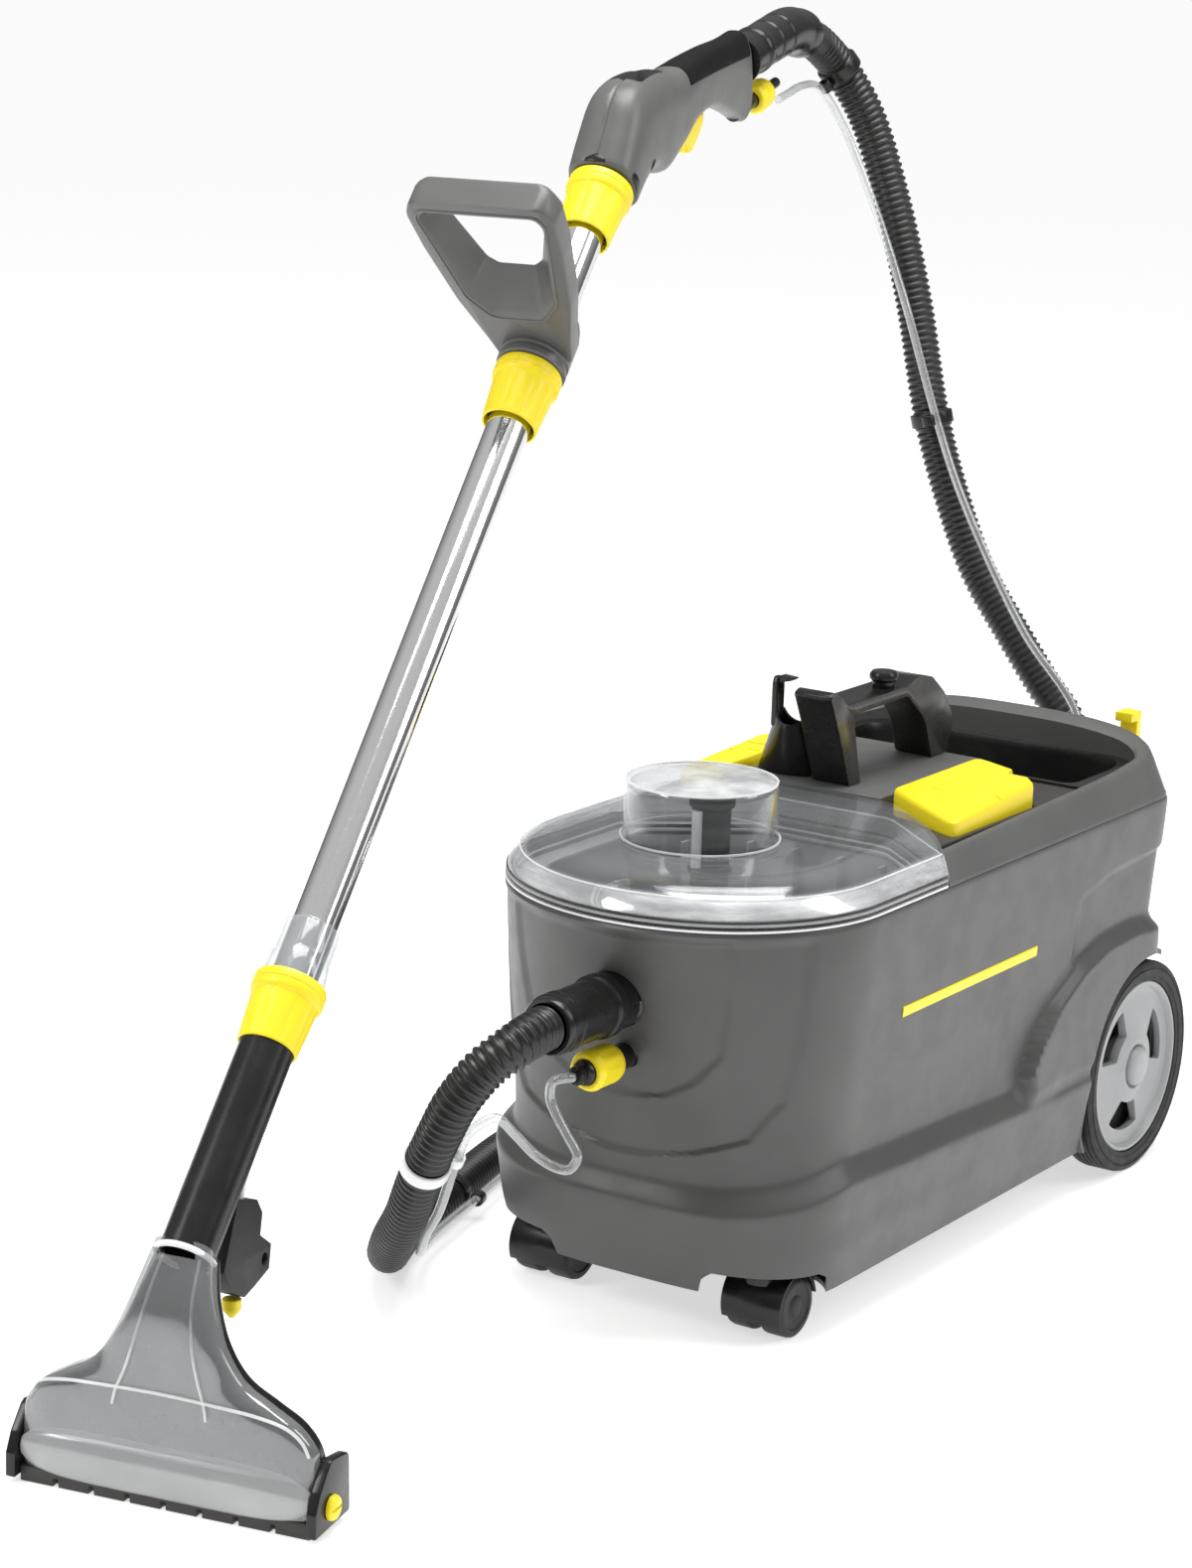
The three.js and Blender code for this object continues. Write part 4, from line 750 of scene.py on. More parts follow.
# Lines on the skin, each as places and values: how far the skirt's shoulder has climbed, the top of the wheel
# arch's flare, the top of the hollow behind it, and the half widths of the two panels let into the nose.
CLIMB = ((-300, 0), (-215, 18), (-140, 13), (-44, 9), (40, 4), (127, -1))
FLARE = ((70, 128), (80, 146), (91, 162), (121, 190), (163, 211), (206, 222), (264, 224), (340, 214))
HOLLOW = ((150, 262), (157, 273), (207, 286), (340, 292))
OUTER_PANEL = ((140, 0), (152, 64), (166, 103), (198, 126), (242, 134), (276, 138), (334, 142))
INNER_PANEL = ((188, 0), (196, 42), (210, 67), (234, 89), (284, 98), (334, 102))
HOLLOW_DEPTH = -3.2
OUTER_DEPTH = -2.8
INNER_DEPTH = -2.4


def line_at(value, line):
    return np.interp(value, *zip(*line))


def relief(x, y, z):
    """How far the skin stands out from its plain section."""
    flank = (np.abs(x) > 120) * (y > 0)
    inside = line_at(y, FLARE) - z
    to_skirt = HALF - section_at(z)[0]
    flare = to_skirt * eased_step(inside, -6, 5) * eased_step(y, 62, 84) * eased_step(z, 100, 124)
    below = eased_step(line_at(y, HOLLOW) - z, -2, 4)
    hollow = HOLLOW_DEPTH * eased_step(y, 149, 158) * eased_step(-inside, 3, 12) * below
    nose = y < -150
    outer = OUTER_DEPTH * eased_step(line_at(z, OUTER_PANEL) - np.abs(x), -2.5, 3.5) * eased_step(z, 138, 148)
    inner = INNER_DEPTH * eased_step(line_at(z, INNER_PANEL) - np.abs(x), -2.5, 3.5) * eased_step(z, 186, 197)
    return (flare + hollow) * flank + (outer + inner) * nose * eased_step(z, 331, 322)


def housing_ring(z, inset=0.0):
    """The body's plan at a height, with the shoulder's climb and, on the outside, the relief."""
    x, y = body_ring(*section_at(z, inset)).T
    share = eased_step(z, 70, 100) * eased_step(z, 220, 150)
    ring = body_ring(*section_at(z - line_at(y, CLIMB) * share, inset))
    ahead = np.roll(ring, -1, 0) - np.roll(ring, 1, 0)
    outward = np.column_stack([ahead[:, 1], -ahead[:, 0]]) / np.linalg.norm(ahead, axis=1)[:, None]
    ring = ring + outward * relief(x, y, z)[:, None] if inset == 0 else ring
    return np.column_stack([ring, np.full(len(ring), z)])


def caster_pivot(side):
    return on_axis(MACHINE, "z", (side * CASTER_X, -250, 0))


def make_housing():
    """The tub: its skin, hollow, wheel pockets with liners, caster rooms, bores and trim strips."""
    levels = [BOTTOM_Z, BOTTOM_Z + 2, *np.linspace(42, RIM_Z - 2.5, 150), RIM_Z]
    rings = [housing_ring(z) for z in levels]
    rings[0][:, :2] *= 0.988
    rings[-1][:, :2] *= 0.996
    shell = loft("housing", rings, MACHINE, "grey")
    inner = [housing_ring(z, WALL + 3) for z in np.linspace(BOTTOM_Z + WALL, RIM_Z - 8, 24)]
    inner.append(inner[-1] * (1, 1, 0) + (0, 0, RIM_Z + 2))
    shell = boolean(shell, loft("hollow", inner, MACHINE, "grey"))
    for side in (1, -1):
        low, high = ends_on(side, 114, 205)
        shell = boolean(shell, lathe("pocket", [(101, low), (101, high)], WHEEL_AXIS, "grey", 96))
        liner = lathe("liner", [(105, x) for x in ends_on(side, 110, 148)], WHEEL_AXIS, "grey", 96)
        liner = boolean(liner, lathe("pocket", [(100.9, low), (100.9, high)], WHEEL_AXIS, "grey", 96))
        liner = boolean(liner, block("below", (-200, 60, -60), (200, 420, BOTTOM_Z + 0.5), MACHINE, "grey"),
                        block("behind", (-200, REAR_Y - 5, -60), (200, 460, 400), MACHINE, "grey"))
        shell = joined(shell, liner)
        room = lathe("caster_room", [(50, 20), (50, 52), (46, 57)], caster_pivot(side), "grey", 64)
        shell = boolean(shell, room)
    shell = boolean(
        shell,
        lathe("cuff_bore", [(23.4, -420), (23.4, -240)], INLET_AXIS, "grey", 48),
        lathe("coupling_bore", [(10.4, -420), (10.4, -240)], OUTLET_AXIS, "grey", 32),
        lathe("gland_bore", [(8.4, 300), (8.4, 380)], GLAND_AXIS, "grey", 32),
        sharp=32,
    )
    eased(shell, 1.0, 2, 55, sharp=34)
    placed_on(shell, "machine", "grey_plastic", "base_housing")
    for side, name in SIDES:
        placed_on(trim_strip(side, name), "machine", "yellow_plastic")


def trim_strip(side, name):
    """A thin yellow strip let into the flank, following the housing's skin."""
    rows = []
    for y in np.linspace(-142, 80, 40):
        for z in (240.5, 241.5, 248.5, 249.5):
            plan = housing_ring(z)
            near = plan[plan[:, 0] * side > 0]
            order = np.argsort(near[:, 1])
            x = np.interp(y, near[order, 1], np.abs(near[order, 0]))
            proud = 0.7 if 241 < z < 249 else 0.1
            rows.append((side * (x + proud), y, z))
    count = len(rows) // 4
    corners = [4 * row + k for row in range(count - 1) for k in range(3)]
    faces = [(k, k + 1, k + 5, k + 4) for k in corners]
    strip = mesh_object(f"trim_strip_{name}", rows, faces, MACHINE, "yellow")
    modified(strip, "SOLIDIFY", thickness=1.2 * MM, offset=-side)
    crisp(strip, 30)
    return strip


# ------------------------------------------------------------------ deck
DECK_Z = 334.4
DECK_PANEL_Z = 360
REAR_RIM_Z = 389
MID_HALF = 60
MID_Y = -6
SLANT = -0.84
SPINE_NEAR = 46
SPINE_FAR = 92
SPINE_Z = 372
SPINE_REAR = 178
POCKET_HALF = 136
POCKET_REAR = 304
POCKET_Z = 352
BIN_X = 122
BIN_FRONT_Y = 186
BIN_REAR_Y = 298
BIN_FLOOR = 262
FRONT_GAP = 1.5


def deck_front(x):
    """Where the deck's front edge runs, straight in the middle and slanting forward beside it."""
    return MID_Y + np.maximum(0, np.abs(x) - MID_HALF) * SLANT


def deck_ring(half, rear, shift, corner=REAR_CORNER):
    xs = np.array([-half, -0.8 * half, -MID_HALF - 6, -MID_HALF + 6, 0, MID_HALF - 6, MID_HALF + 6,
                   0.8 * half, half])
    points = [(x, deck_front(x) + shift) for x in xs]
    start = points[-1][1]
    points += [(half, y) for y in np.linspace(start, rear - corner, 26)[1:-1]]
    for side in (1, -1):
        for k in range(CORNER_STEPS + 1):
            turn = math.pi / 2 * (k if side > 0 else CORNER_STEPS - k) / CORNER_STEPS
            points.append((side * (half - corner + corner * math.cos(turn)),
                           rear - corner + corner * math.sin(turn)))
        if side > 0:
            points += [(x, rear) for x in np.linspace(half - corner, corner - half, 16)[1:-1]]
    points += [(-half, y) for y in np.linspace(rear - corner, start, 26)[1:-1]]
    return np.array(points)


def deck_height(x, y):
    top = 358 + 10 * (y + 74) / 380
    lift = eased_step(y, 205, 318) * (REAR_RIM_Z - top)
    return top + lift * (1 - np.abs(x / 150) ** 3)


def deck_level(ring, drop):
    return np.column_stack([ring, deck_height(ring[:, 0], ring[:, 1]) - drop])


def flat_level(ring, z):
    return np.column_stack([ring, np.full(len(ring), z)])


def make_deck():
    """The deck: a raised rim round a sunk pocket, the spine under the handle and the bin's hole."""
    foot = ((157, 335, 0), (157, 335, 2), (156, 334, 4.5))
    skin = ((147, 328, 46, 7), (144.5, 326.5, 46, 2), (142, 325, 46, 0.4), (139, 322, 46, 0),
            (136.5, 309, 38, 1.5), (135, 305, 36, 4), (100, 280, 30, 6))
    rings = [flat_level(deck_ring(half, rear, FRONT_GAP), DECK_Z + rise) for half, rear, rise in foot]
    rings += [deck_level(deck_ring(half, rear, FRONT_GAP, corner), drop) for half, rear, corner, drop in skin]
    deck = loft("deck", rings, MACHINE, "deck_lit_grey")
    pocket = [flat_level(deck_ring(POCKET_HALF, POCKET_REAR, -9, 36), z) for z in (POCKET_Z, REAR_RIM_Z + 12)]
    deck = boolean(deck, loft("pocket", pocket, MACHINE, "deck_lit_grey"))
    outline = [(x, deck_front(x) + FRONT_GAP) for x in (-SPINE_FAR, -MID_HALF, SPINE_NEAR)]
    outline = filleted([*outline, (SPINE_NEAR, SPINE_REAR), (-SPINE_FAR, SPINE_REAR)], (2, 0, 2, 9, 9))
    spine = extruded("spine", outline, POCKET_Z - 1, SPINE_Z, MACHINE, "deck_lit_grey")
    deck = joined(deck, eased(spine, 2.0, 3, 40))
    slab = [(x, deck_front(x) + FRONT_GAP) for x in (-143, -MID_HALF, MID_HALF, 143)]
    slab += [(x, y + 3.5) for x, y in slab[::-1]]
    deck = joined(deck, extruded("front_wall", slab, 248, DECK_Z + 1, MACHINE, "deck_lit_grey"))
    bin_hole = extruded("bin_hole", bin_outline(4), 300, POCKET_Z + 1, MACHINE, "deck_lit_grey")
    deck = boolean(deck, bin_hole, sharp=32)
    placed_on(deck, "machine", "grey_plastic", "top_deck")


def bin_outline(grow):
    half, front, rear = BIN_X + grow, BIN_FRONT_Y - grow, BIN_REAR_Y + grow
    return filleted([(-half, front), (half, front), (half, rear), (-half, rear)], (14, 14, 50, 50), 8)


def make_bin():
    """The open storage bin: a flange in the deck's pocket and a tub below it."""
    flange = [flat_level(deck_ring(POCKET_HALF - inset, POCKET_REAR - inset, 0, corner), z)
              for inset, corner, z in ((0.6, 36, POCKET_Z + 0.5), (0.6, 36, 361), (1.6, 35, 362))]
    tray = loft("storage_bin_tub", flange, MACHINE, "black")
    tray = boolean(tray, block("ahead", (-200, -200, 300), (200, SPINE_REAR + 0.5, 400), MACHINE, "black"))
    tray = joined(tray, extruded("tub", bin_outline(3), BIN_FLOOR - 3, 360, MACHINE, "black"))
    steps = ((-12, BIN_FLOOR), (-5, BIN_FLOOR + 4), (0, BIN_FLOOR + 14), (0, 355), (2.5, 363), (3, 380))
    room = [flat_level(bin_outline(grow), z) for grow, z in steps]
    tray = boolean(tray, loft("room", room, MACHINE, "black"), sharp=34)
    placed_on(tray, "machine", "black_plastic", "storage_bin")


# ------------------------------------------------------------------ foot switches
# Which side a switch is on, where the spine beside it ends, its middle and its outline.
SWITCHES = {
    "spray": (1, SPINE_NEAR, (92, 57),
              [(53, 4), (131, -34), (131, 100), (120, 113), (100, 115), (96, 130), (53, 148)]),
    "suction": (-1, SPINE_FAR, (114, 57),
                [(97, -17), (131, -34), (131, 100), (126, 113), (118, 115), (115, 130), (97, 140)]),
}


def switch_level(outline, middle, side, grow, z, shear):
    """A switch's outline at a height, grown away from its middle and lower at its front by shear."""
    made = []
    for x, y in filleted(outline, (5, 6, 8, 3, 3, 4, 7), 4):
        away = np.array((x, y)) - middle
        x, y = middle + away * (1 + grow / np.linalg.norm(away))
        made.append((side * x, y, z - shear * eased_step(-y, -6, 40)))
    return made


def make_switches():
    """Two yellow foot pads, each in a dark frame let into the deck."""
    for name, (side, start, middle, outline) in SWITCHES.items():
        def level(grow, z, shear=0.0):
            return switch_level(outline, np.array(middle, float), side, grow, z, shear)

        steps = ((0, 359, 0), (0, 375.5, 9), (-0.8, 379, 10), (-2.6, 380.6, 11), (-5, 381, 11.5),
                 (-9, 380.6, 11.5))
        rings = [level(*step) for step in steps]
        pad = loft(f"{name}_switch_pad", rings, MACHINE, "yellow")
        cuts = []
        for k in range(3):
            y = 26 + 22 * k
            low, high = ends_on(side, middle[0] - 16, middle[0] + 14)
            cuts.append(block("dent", (low, y, 378.9), (high, y + 1.6, 390), MACHINE))
        low, high = ends_on(side, 124, 140)
        cuts.append(block("thumb", (low, 42, 375), (high, 44.5, 390), MACHINE))
        boolean(pad, *cuts)
        placed_on(pad, f"{name}_switch", "yellow_plastic", f"{name}_switch")
        outer, first = POCKET_HALF - 0.6, start + 0.5
        plan = [(x, deck_front(x) + 3.4) for x in (first, MID_HALF, outer) if x >= first]
        plan += [(outer, SPINE_REAR - 0.5), (first, SPINE_REAR - 0.5)]
        plan = [(side * x, y) for x, y in plan]
        slab = extruded(f"{name}_switch_frame", plan, POCKET_Z + 0.5, DECK_PANEL_Z, MACHINE, "dark")
        slab = boolean(slab, loft("hole", [level(1.6, 340), level(1.6, 400)], MACHINE, None))
        placed_on(eased(slab, 0.8, 2), "machine", "dark_plastic", f"{name}_switch_surround")


# ------------------------------------------------------------------ handle, holder, hook
def yz_plate(name, outline, low, high, material):
    """An outline of (y, z) points with a thickness across X."""
    return extruded(name, outline, low, high, on_axis(MACHINE, "x"), material)


HANDLE_FAR = -30
HANDLE_NEAR = 6
HANDLE_FOOT = 372.6
ARCH = [(14, HANDLE_FOOT), (-6, 420), (-22, 452), (-14, 456), (-2, 448), (6, 441), (104, 441), (122, 447),
        (146, 444), (170, 426), (188, 400), (177, HANDLE_FOOT), (152, HANDLE_FOOT), (138, 408), (106, 433),
        (18, 432), (19, 420), (32, HANDLE_FOOT)]
ARCH_RADII = (0, 40, 5, 5, 8, 14, 14, 16, 18, 16, 18, 0, 0, 40, 12, 7, 10, 0)


def make_handle():
    """A bar on two legs: the front leg leans forward and ends in a fin above the bar."""
    arch = yz_plate("carry_handle_arch", filleted(ARCH, ARCH_RADII, 7), HANDLE_FAR, HANDLE_NEAR, "black")
    eased(arch, 2.4, 3, 40)
    knob = lathe("knob", [(0, 438), (9, 438), (9.5, 446), (12, 448.5), (12, 452), (10, 454.6), (0, 455)],
                 on_axis(MACHINE, "z", (-10, 92, 0)), "black", 48)
    # A lighter black skin on the handle's near face: painted light on the side the lamps light.
    edging = yz_plate("carry_handle_side", filleted(ARCH, ARCH_RADII, 7), HANDLE_NEAR - 0.2,
                      HANDLE_NEAR + 0.5, "lit_side_black")
    placed_on(eased(edging, 0.4, 1, 60), "machine", "black_plastic")
    placed_on(grouped(arch, knob), "machine", "black_plastic", "carry_handle")


CUP_TOP = 428
CUP_NEAR = HANDLE_FAR - 0.4


def cup_ring(z, inset):
    """The cup's plan at a height: round in front, flat behind, leaning forward and narrowing as it rises."""
    rise = (z - HANDLE_FOOT) / (CUP_TOP - HANDLE_FOOT)
    half, back, depth = 30.5 - 13.5 * rise, 34 - 14 * rise - inset, 20 + 4 * rise - 2 * inset
    angles = np.linspace(math.pi, 2 * math.pi, 40)
    return [(CUP_NEAR - half + (half - inset) * math.cos(a), back + depth * math.sin(a), z) for a in angles]


def make_holder():
    """A cup beside the front leg with a hooked horn on its far side."""
    skin = [cup_ring(z, 0) for z in np.linspace(HANDLE_FOOT, CUP_TOP, 9)]
    room = [cup_ring(z, 3) for z in np.linspace(HANDLE_FOOT + 4, CUP_TOP + 3, 9)]
    cup = boolean(loft("accessory_cup", skin, MACHINE, "black"), loft("room", room, MACHINE, None))
    scoop_axis = on_axis(MACHINE, "y", (CUP_NEAR - 17, 0, CUP_TOP + 5))
    cup = boolean(cup, lathe("scoop", [(15, -90), (15, 40)], scoop_axis, None, 48))
    side_view = [(4, CUP_TOP - 14), (17, CUP_TOP - 14), (17, 450), (14, 456), (6, 456), (4, 450)]
    horn = yz_plate("horn", filleted(side_view, 3, 4), -65, -61, "black")
    front_view = [(-65, 446), (-61, 451), (-50, 453.4), (-46, 456), (-60, 457), (-65, 455)]
    upright = MACHINE @ Matrix(((1, 0, 0, 0), (0, 0, -1, 0), (0, 1, 0, 0), (0, 0, 0, 1)))
    hook = extruded("hook", filleted(front_view, 1.5, 3), -16, -7, upright, "black")
    cup = joined(cup, horn, hook)
    placed_on(eased(cup, 0.8, 2, 40), "machine", "black_plastic", "accessory_holder")


def make_rear_fittings():
    hook = from_node("cable_hook", "cable_hook_arm", "yellow", 1.6, 3)
    placed_on(hook, "cable_hook", "yellow_plastic", "cable_hook")
    profile = [(3.5, 321), (8, 321), (8, 342), (12, 343), (12.4, 345), (10.4, 347), (10.6, 348.5), (9, 350),
               (9, 352), (3.5, 352), (3.5, 321)]
    gland = lathe("cable_gland_ring", profile, GLAND_AXIS, "black", 40)
    placed_on(gland, "machine", "black_plastic", "cable_gland")


# ------------------------------------------------------------------ lid and tank
LID_BASE_Z = 337.4
LID_TOP_Z = 371
DOME_RADIUS = 60
DOME_Y = -204
DOME_TOP_Z = 419


def tank_ring(half, front, shift, power=2.0):
    """Round at the front and closed behind by the deck's own front line."""
    turn = np.linspace(math.pi, 2 * math.pi, NOSE_STEPS + 1)
    bent = lambda v: np.sign(v) * np.abs(v) ** (2 / power)
    nose = np.column_stack([half * bent(np.cos(turn)), NOSE_Y + (NOSE_Y - front) * bent(np.sin(turn))])
    xs = np.array([1, 0.9, 0.72, 0.55]) * half
    xs = np.array([*xs, MID_HALF + 5, MID_HALF - 5, 20, -20, 5 - MID_HALF, -MID_HALF - 5, *(-xs[::-1])])
    side = [(half, y) for y in np.linspace(NOSE_Y, deck_front(half) + shift, 12)[1:-1]]
    back = [(x, deck_front(x) + shift) for x in xs]
    other = [(-x, y) for x, y in side[::-1]]
    return np.concatenate([nose, side, back, other])


LID_SKIN = [(0, LID_BASE_Z), (0, 343), (0.8, 345.5), (3, 349), (9, 357), (16, 363.5), (24, 367.5),
            (34, 370), (44, LID_TOP_Z)]


def lid_skin(name, thick, material):
    """The lid's outer shape, or the room inside it when thick is the wall's thickness."""
    rings = []
    for k, (inset, z) in enumerate(LID_SKIN):
        level = z - 1 if thick and k == 0 else z - thick * min(k, 1)
        plan = tank_ring(HALF - 1 - inset - thick, FRONT_Y + 1 + inset + thick, -thick)
        rings.append(flat_level(plan, level))
    return loft(name, rings, MACHINE, material)


def make_lid():
    """The clear lid with its dome and seal, thin white lines on its edges that are painted highlights, and a
    white band round the tank's rim that is a painted highlight.
    """
    lid = lid_skin("clear_lid", 0, "clear")
    dome_at = on_axis(MACHINE, "z", (0, DOME_Y, 0))
    r = DOME_RADIUS
    dome = [(0, 365), (r + 5, 365), (r + 4, LID_TOP_Z), (r + 1.5, LID_TOP_Z + 1.5),
            (r + 0.5, LID_TOP_Z + 5), (r, 412), (r - 0.6, 415.6), (r - 2.4, 418), (r - 6, DOME_TOP_Z),
            (0, DOME_TOP_Z)]
    lid = joined(lid, lathe("dome", dome, dome_at, "clear", 96))
    inner = lid_skin("inner", 2.5, "clear")
    hollow = [(0, 360), (r - 2.5, 360), (r - 2.5, 411), (r - 4.4, 415), (r - 8, 416.5), (0, 416.5)]
    lid = boolean(lid, inner, lathe("hollow", hollow, dome_at, "clear", 96), sharp=30)
    placed_on(lid, "lid", "clear_plastic", "lid")
    # Thin white rings at the dome's top edge and foot: painted highlights.
    for name, radius, z in (("dome_top_highlight", r - 1.2, 417.6), ("dome_foot_highlight", r + 2.2, LID_TOP_Z + 1.6)):
        square = ((-1, -1), (1, -1), (1, 1), (-1, 1), (-1, -1))
        ring = [(radius + 0.7 * a, z + 0.7 * b) for a, b in square]
        placed_on(lathe(name, ring, dome_at, "edge", 96), "lid", "clear_plastic")
    # A thin white line round the lid's top: a painted highlight.
    brow = flat_level(tank_ring(HALF - 1 - 10, FRONT_Y + 1 + 10, -4), 358.4)
    brow = swept("lid_brow", np.concatenate([brow, brow[:1]]), 0.8, 8, MACHINE, "edge", caps=False)
    placed_on(brow, "lid", "clear_plastic")
    for name, low, high, finish in (("lid_foot_line", 337.5, 339.2, "black"),
                                    ("lid_rim_band", 339.4, 342.4, "tank"),
                                    ("lid_brow_line", 342.6, 344, "black")):
        levels = ((1.2, low), (0.4, low + 0.4), (0.4, high - 0.4), (1.2, high))
        rim = ring_band(name, levels, 3.2, finish)
        placed_on(rim, "lid", "clear_plastic")
    seal = ring_band("lid_seal_band", ((1.6, 336.6), (1.2, 337), (1.2, 338.6), (1.6, 339)), 8, "rubber")
    placed_on(seal, "tank", "rubber", "lid_seal")
    # A white band standing proud on the tank's rim: a painted highlight along the top edge.
    bead = ring_band("tank_rim_highlight_band", ((1, 334.7), (-0.2, 335.2), (-0.2, 336.5), (1, 337)), 8, "frosted_and_highlight")
    placed_on(bead, "tank", "light_plastic")


def ring_band(name, levels, width, material):
    """A band round the tank's rim, from insets and heights."""
    skin = [flat_level(tank_ring(HALF - i, FRONT_Y + i, -i - 1), z) for i, z in levels]
    band = loft(name, skin, MACHINE, material)
    room = [flat_level(tank_ring(HALF - width, FRONT_Y + width, -width), z) for z in (330, 350)]
    return boolean(band, loft("room", room, MACHINE, None))


def make_tank():
    """The lift-out tank with its ribs, standpipe, shelf, float and deflector, and a white rod beside the
    standpipe that is a painted highlight.
    """
    levels = np.linspace(0, 1, 14)

    def wall(thick, floor):
        rings = []
        for t in levels:
            plan = tank_ring(130 + 19 * t - thick, -284 - 50 * t + thick, -8 - thick, 2.6 - 0.6 * t)
            rings.append(flat_level(plan, floor + (326 - floor + thick * 2) * t))
        return rings

    tank = loft("waste_tank", wall(0, 160), MACHINE, "tank")
    tank = boolean(tank, loft("tank_room", wall(3, 163.5), MACHINE, None))
    tank = boolean(tank, lathe("inlet", [(19, -348), (19, -288)], INLET_AXIS, None, 40), sharp=30)
    ribs = []
    for x in (-104, -62, -21, 21, 62, 104):
        y = float(deck_front(x)) - 12.5
        ribs.append(block("rib", (x - 1.5, y - 9, 190), (x + 1.5, y + 2, 322), MACHINE, "tank"))
    tank = joined(tank, *ribs, sharp=30)
    placed_on(tank, "tank", "light_plastic", "dirty_water_tank")
    pipe_at = on_axis(MACHINE, "z", (10, DOME_Y, 0))
    profile = [(12, 164), (15, 164), (15, 344), (17, 346), (17, 350), (15, 352), (15, 396), (18, 399),
               (18, 406), (15.5, 408), (12, 408), (12, 164)]
    pipe = lathe("intake_standpipe", profile, pipe_at, "matt_black", 56)
    placed_on(pipe, "tank", "black_plastic", "suction_standpipe")
    # A thin white rod beside the dark standpipe: a painted highlight, for the bright vertical reflection on
    # the dome.
    highlight_line = [(7, -220, z) for z in np.linspace(352, 397, 8)]
    highlight_rod = swept("standpipe_highlight_rod", highlight_line, 4.2, 16, MACHINE, "frosted_and_highlight")
    placed_on(highlight_rod, "tank", "light_plastic")
    shelf = [flat_level(tank_ring(HALF - i, FRONT_Y + i, -i), z) for i, z in ((9, 329.6), (9, 331.6))]
    room = [flat_level(tank_ring(HALF - 27, FRONT_Y + 27, -12), z) for z in (320, 340)]
    shelf = boolean(loft("tank_shelf", shelf, MACHINE, "light"), loft("room", room, MACHINE, None))
    placed_on(shelf, "tank", "light_plastic")
    float_profile = [(16.4, 292), (31, 292), (34, 295), (34, 309), (31, 312), (16.4, 312), (16.4, 292)]
    collar = lathe("float_collar", float_profile, pipe_at, "dark", 56)
    placed_on(collar, "float", "dark_plastic", "float_ring")
    deflector = from_node("inlet_deflector", "inlet_hood", "matt_black", 2.0, 3)
    placed_on(deflector, "tank", "black_plastic", "inlet_deflector")


# ------------------------------------------------------------------ rear wheels
def make_wheels():
    """A tyre, a disc with three windows, a backing and an axle cap on each side."""
    for side, name in SIDES:
        out = lambda profile: [(r, side * x) for r, x in profile]
        tread = []
        for k in range(5):
            x = 128.5 + 4.6 * k
            tread += [(93.8, x), (93.8, x + 3.0), (92.6, x + 3.4), (92.6, x + 4.2)]
        profile = filleted([(76.5, 121), (86, 119), (91.4, 121.5)], 1.5, 3, closed=False)
        outer_side = [(93.2, 152), (91.6, 153.2), (88.5, 154), (88, 153), (86.6, 153), (86.2, 154),
                      (81, 153.6), (80.4, 152.6), (78.6, 152.4), (76.5, 152), (76.5, 121)]
        profile = [*(tuple(p) for p in profile), (93.2, 125), *tread, *outer_side]
        tyre = lathe(f"tyre_{name}", out(profile), WHEEL_AXIS, "rubber", 96, 30)
        placed_on(tyre, f"{name}_wheel", "rubber", f"rear_tyre_{name}")
        face = [(8.4, 122), (26, 122), (26, 140), (66.5, 140), (66.5, 121), (76.1, 121), (76.1, 150),
                (74.8, 151.3), (72.6, 151.3), (71.2, 150), (69.6, 146.4), (66, 145), (62, 145.6),
                (31, 148.4), (25, 151.4), (20, 151.4), (18, 149), (18, 148.4), (8.4, 148.4), (8.4, 122)]
        disc = lathe(f"wheel_disc_{name}", out(face), WHEEL_AXIS, "light", 96, 28)
        for turn in (20, 140, 260):
            low, high = ends_on(side, 118, 170)
            window = extruded("window", bean(math.radians(turn)), low, high, on_axis(MACHINE, "x"), None)
            disc = boolean(disc, window, sharp=28)
        eased(disc, 1.2, 3, 50, sharp=34)
        placed_on(disc, f"{name}_wheel", "light_plastic", f"wheel_disc_{name}")
        plate = [(27, 128), (66, 128), (66, 132), (27, 132), (27, 128)]
        backing = lathe(f"wheel_back_{name}", out(plate), WHEEL_AXIS, "dark", 72)
        placed_on(backing, f"{name}_wheel", "dark_plastic")
        cap = [(0, 149), (17, 149), (17.4, 150), (17.2, 153.5), (15.5, 155.6), (12.5, 156.6), (6, 157),
               (0, 157)]
        cover = lathe(f"axle_cap_{name}_cover", out(cap), WHEEL_AXIS, "light", 56)
        placed_on(cover, f"{name}_wheel", "light_plastic", f"axle_cap_{name}")


def bean(middle):
    """A bean-shaped window between two radii of the wheel, as (y, z) points."""
    spread = 0.5

    def arc(r, first, last):
        turns = [middle + t for t in np.linspace(first, last, 9)]
        return [(AXLE_Y + r * math.cos(turn), WHEEL_RADIUS + r * math.sin(turn)) for turn in turns]

    outline = [*arc(58, -spread, spread), *arc(33, spread * 0.8, -spread * 0.8)]
    radii = [8 if k in (0, 8) else 5 if k in (9, 17) else 0 for k in range(18)]
    return filleted(outline, radii, 5)


# ------------------------------------------------------------------ casters
def fork_room(side):
    """What is cut away below and ahead of a caster's hood."""
    low_x, high_x = side * CASTER_X - 40, side * CASTER_X + 40
    return (block("below", (low_x, -290, -8), (high_x, -190, 14), MACHINE),
            block("ahead", (low_x, -240, -8), (high_x, -190, 30), MACHINE))


